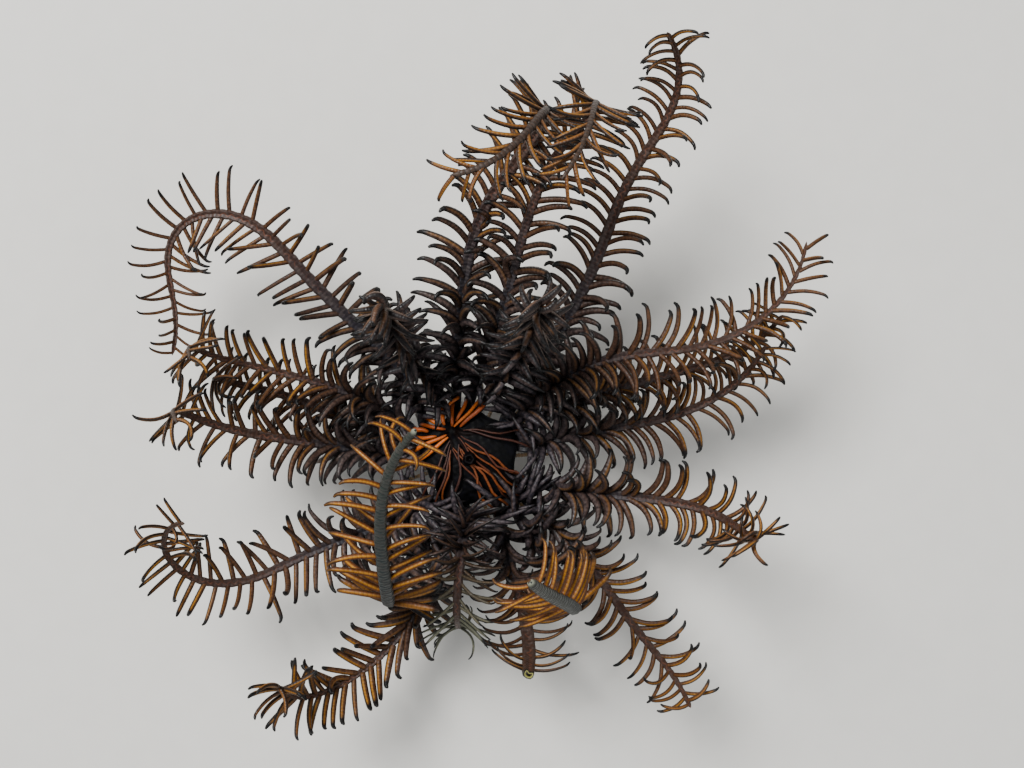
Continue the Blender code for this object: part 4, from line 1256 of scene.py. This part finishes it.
def make_cirri(colours, octagon):
    """The button under the crown with its jointed cirri, and the cirri's claws."""
    low, high = CD_Z
    profile = [(0, high + 0.2), (CD_R * 0.9, high + 0.2), (CD_R, high - 0.4), (CD_R, low + 1.7),
               (CD_R * 0.85, low + 0.7), (CD_R * 0.55, low + 0.1), (0, low)]
    base = turned(rounded(profile))
    put_points(base.data, points_of(base.data))
    set_attribute(base.data, "along", 0.0)
    set_attribute(base.data, "joint", 0.0)
    pieces, claws = [base], []
    for k, free in [(k, 0) for k in range(CIRRI)] + [(k, 1) for k in range(CIRRI_FREE)]:
        path, ridge = cirrus_path(k, free)
        points, s, long = even_points(path, CIRRUS_STEP)
        phase = s % CIRRAL / CIRRAL
        halves = CIRRUS_HALF * (0.84 + 0.16 * np.sin(np.pi * phase) ** 0.5) * (1 - 0.25 * s / long)
        ways = unit(np.gradient(points, axis=0))
        ridges = unit(ridge - ways * (ways @ ridge)[:, None])
        ob, rings = swept(points, halves, ridges, octagon)
        set_attribute(ob.data, "along", (s / long)[:, None], rings)
        set_attribute(ob.data, "joint", (1 - np.sin(np.pi * phase))[:, None], rings)
        weld(ob)
        pieces.append(ob)
        out, drop = ways[-1], -ridges[-1]
        t = np.linspace(0, 1, 8)[:, None]
        claw = points[-1] + out * (t * 1.1 - 0.1) + drop * CLAW_DROP * t * t
        halves = CLAW_HALF * (1 - t[:, 0]) ** 0.7 + 0.03
        ob, _ = swept(claw, halves, np.repeat(ridges[-1:], len(t), 0), octagon)
        weld(ob)
        claws.append(ob)
    settle(joined(pieces), "centrodorsal_and_cirri", cirrus_material(colours), "centrodorsal",
           "centrodorsal")
    settle(joined(claws), "cirrus_claws", claw_material(), "centrodorsal")


def make_radials(material):
    """The ring of radial plates between the centrodorsal and the rays."""
    deselect()
    bpy.ops.mesh.primitive_cylinder_add(vertices=len(RAY_AZ), radius=RADIAL_IN * MM)
    ob = bpy.context.object
    azimuths = sorted(RAY_AZ.values())
    corners = []
    for a, b in zip(azimuths, azimuths[1:] + [azimuths[0] + 360]):
        corners.append(polar(RADIAL_IN / math.cos(math.radians((b - a) / 2)), (a + b) / 2, 0))
    rings = [[v for v in ob.data.vertices if (v.co.z > 0) == bool(level)] for level in (0, 1)]
    for level, ring in enumerate(rings):
        ring.sort(key=lambda v: math.atan2(v.co.y, v.co.x) % (2 * math.pi))
        turn = sorted(corners, key=lambda c: math.atan2(c[1], c[0]) % (2 * math.pi))
        for v, corner in zip(ring, turn):
            v.co = (corner[0] * MM, corner[1] * MM, RADIAL_Z[level] * MM)
    ob.location = (0, 0, 0)
    only(ob)
    edge = ob.modifiers.new("edge", "BEVEL")
    edge.width = RADIAL_EDGE * MM
    edge.segments = 3
    bpy.ops.object.modifier_apply(modifier="edge")
    weld(ob)
    put_points(ob.data, points_of(ob.data))
    for key, value in (("place", 0.0), ("oral", -1.0), ("lateral", 0.0), ("brown", 1.0), ("cut", 0.0)):
        set_attribute(ob.data, key, value)
    settle(ob, "radial_ring", material, "ray", "radials")


# Operators

class StarSizes(bpy.types.PropertyGroup):
    brachial: FloatProperty(name="Brachial", description="Length of an arm's joint", default=0.85 * MM,
                            min=0.3 * MM, subtype="DISTANCE", unit="LENGTH", precision=5)
    pinnule_step: FloatProperty(name="Pinnule step", description="From one pinnule to the next, on "
                                "the other side of the arm", default=1.2 * MM, min=0.5 * MM,
                                subtype="DISTANCE", unit="LENGTH", precision=5)
    seed: IntProperty(name="Seed", description="Which of the possible fringes is drawn", default=7)


def colour_property(name, description, code):
    return FloatVectorProperty(name=name, description=description, subtype="COLOR", size=4, min=0, max=1,
                               default=linear(code))


class StarColours(bpy.types.PropertyGroup):
    crown_flesh: colour_property("Crown flesh", "Pinnules near the crown", "#463d3f")
    outer_flesh: colour_property("Outer flesh", "Pinnules far out on an arm", "#5c3a1c")
    edge: colour_property("Edges", "Dark edges of the pinnules near the crown", "#100f13")
    amber: colour_property("Amber", "Lines along the pinnules", "#8f6018")
    gold: colour_property("Gold", "Lines along the pinnules of the golden arms", "#a26c13")
    slate: colour_property("Slate", "Backs of the arms", "#242c2b")
    umber: colour_property("Umber", "Oral sides of the arms", "#38261f")
    # Near black: the disc's blue-black skin with painted shade of the pinnules over it
    disc: colour_property("Disc", "The disc's skin", "#020203")
    orange: colour_property("Orange", "Oral pinnules round the mouth", "#cf6a1e")
    cirrus: colour_property("Cirri", "The jointed cirri under the crown", "#937243")


class STAR_OT_ray_skins(bpy.types.Operator):
    """Makes one jointed skin for each ray with its arms"""
    bl_idname = "star.ray_skins"
    bl_label = "Ray and arm skins"

    def execute(self, context):
        lines = {name: Line(name) for name in ARMS}
        material = arm_material(context.scene.star_colours)
        section = outline("arm_section", ARM_SECTION)
        angles = angles_round(len(ARM_SECTION))
        oval = outline("ray_section", [(math.cos(a), RAY_FLAT * math.sin(a)) for a in angles])
        for letter in RAY_AZ:
            make_ray_skin(letter, lines, context.scene.star_sizes, material, section, oval)
        for ob in (section, oval):
            bpy.data.objects.remove(ob)
        return {"FINISHED"}


class STAR_OT_pinnules(bpy.types.Operator):
    """Fringes every arm with its pinnules, each bent clear of the others"""
    bl_idname = "star.pinnules"
    bl_label = "Pinnules"

    def execute(self, context):
        sizes = context.scene.star_sizes
        material = pinnule_material(context.scene.star_colours)
        lines = {name: Line(name) for name in ARMS}
        space = fill_space(lines)
        make_pinnules("oral_pinnules", oral_pinnules(lines, space, sizes.seed),
                      oral_material(context.scene.star_colours))
        draws = {name: random.Random(sizes.seed + i) for i, name in enumerate(lines)}
        covers = {name: cover_pinnules(name, line, space, draws[name]) for name, line in lines.items()}
        for name, line in lines.items():
            rows = covers[name] + place_pinnules(name, line, sizes, space, draws[name])
            make_pinnules("arm_%s_pinnules" % name, rows, material)
        return {"FINISHED"}


class STAR_OT_disc(bpy.types.Operator):
    """Makes the disc's skin and the anal papilla"""
    bl_idname = "star.disc"
    bl_label = "Disc and papilla"

    def execute(self, context):
        make_disc(context.scene.star_colours)
        make_papilla(context.scene.star_colours)
        return {"FINISHED"}


class STAR_OT_centrodorsal(bpy.types.Operator):
    """Makes the centrodorsal with its cirri and claws, and the ring of radial plates"""
    bl_idname = "star.centrodorsal"
    bl_label = "Centrodorsal, cirri and radials"

    def execute(self, context):
        octagon = outline("cirrus_section", [(math.cos(a), math.sin(a)) for a in angles_round(8)])
        make_cirri(context.scene.star_colours, octagon)
        bpy.data.objects.remove(octagon)
        make_radials(arm_material(context.scene.star_colours))
        return {"FINISHED"}


class STAR_OT_stage(bpy.types.Operator):
    """Lays a plain pale floor, and sets soft light and the photograph's camera"""
    bl_idname = "star.stage"
    bl_label = "Floor, light and camera"

    def execute(self, context):
        deselect()
        bpy.ops.mesh.primitive_plane_add(size=FLOOR_SIZE, location=(0, 0, 0))
        floor = context.object
        floor.name = "floor"
        floor.data.materials.append(floor_material())
        for name, place, size, power in LIGHTS:
            bpy.ops.object.light_add(type="AREA", location=place)
            lamp = context.object
            lamp.name = name
            lamp.data.size = size
            lamp.data.energy = power
            lamp.rotation_euler = (-Vector(place)).to_track_quat("-Z", "Y").to_euler()
        world = bpy.data.worlds.new("studio")
        world.use_nodes = True
        background = world.node_tree.nodes["Background"].inputs
        background[0].default_value = linear(SKY)
        background[1].default_value = SKY_STRENGTH
        context.scene.world = world
        over = (AXIS[:2] + VIEW_OVER) * MM
        bpy.ops.object.camera_add(location=(*over, VIEW_HIGH * MM), rotation=(0, 0, 0))
        camera = context.object
        camera.data.lens = VIEW_LENS
        camera.data.sensor_fit = "HORIZONTAL"
        camera.data.sensor_width = 36
        context.scene.camera = camera
        return {"FINISHED"}


class STAR_PT_panel(bpy.types.Panel):
    """Lists the feather star's pieces"""
    bl_idname = "STAR_PT_panel"
    bl_label = "Feather star"
    bl_space_type = "VIEW_3D"
    bl_region_type = "UI"
    bl_category = "Feather star"

    def draw(self, context):
        layout = self.layout
        for key in ("brachial", "pinnule_step", "seed"):
            layout.prop(context.scene.star_sizes, key)
        for key in StarColours.__annotations__:
            layout.prop(context.scene.star_colours, key)
        for operator in STEPS:
            layout.operator(operator.bl_idname)


STEPS = (STAR_OT_ray_skins, STAR_OT_pinnules, STAR_OT_disc, STAR_OT_centrodorsal, STAR_OT_stage)
CLASSES = (StarSizes, StarColours) + STEPS + (STAR_PT_panel,)


def register():
    for cls in CLASSES:
        bpy.utils.register_class(cls)
    bpy.types.Scene.star_sizes = PointerProperty(type=StarSizes)
    bpy.types.Scene.star_colours = PointerProperty(type=StarColours)


def unregister():
    del bpy.types.Scene.star_colours
    del bpy.types.Scene.star_sizes
    for cls in reversed(CLASSES):
        bpy.utils.unregister_class(cls)


def main():
    register()
    bpy.ops.star.ray_skins()
    bpy.ops.star.pinnules()
    bpy.ops.star.disc()
    bpy.ops.star.centrodorsal()
    bpy.ops.star.stage()


if __name__ == "__main__":
    main()
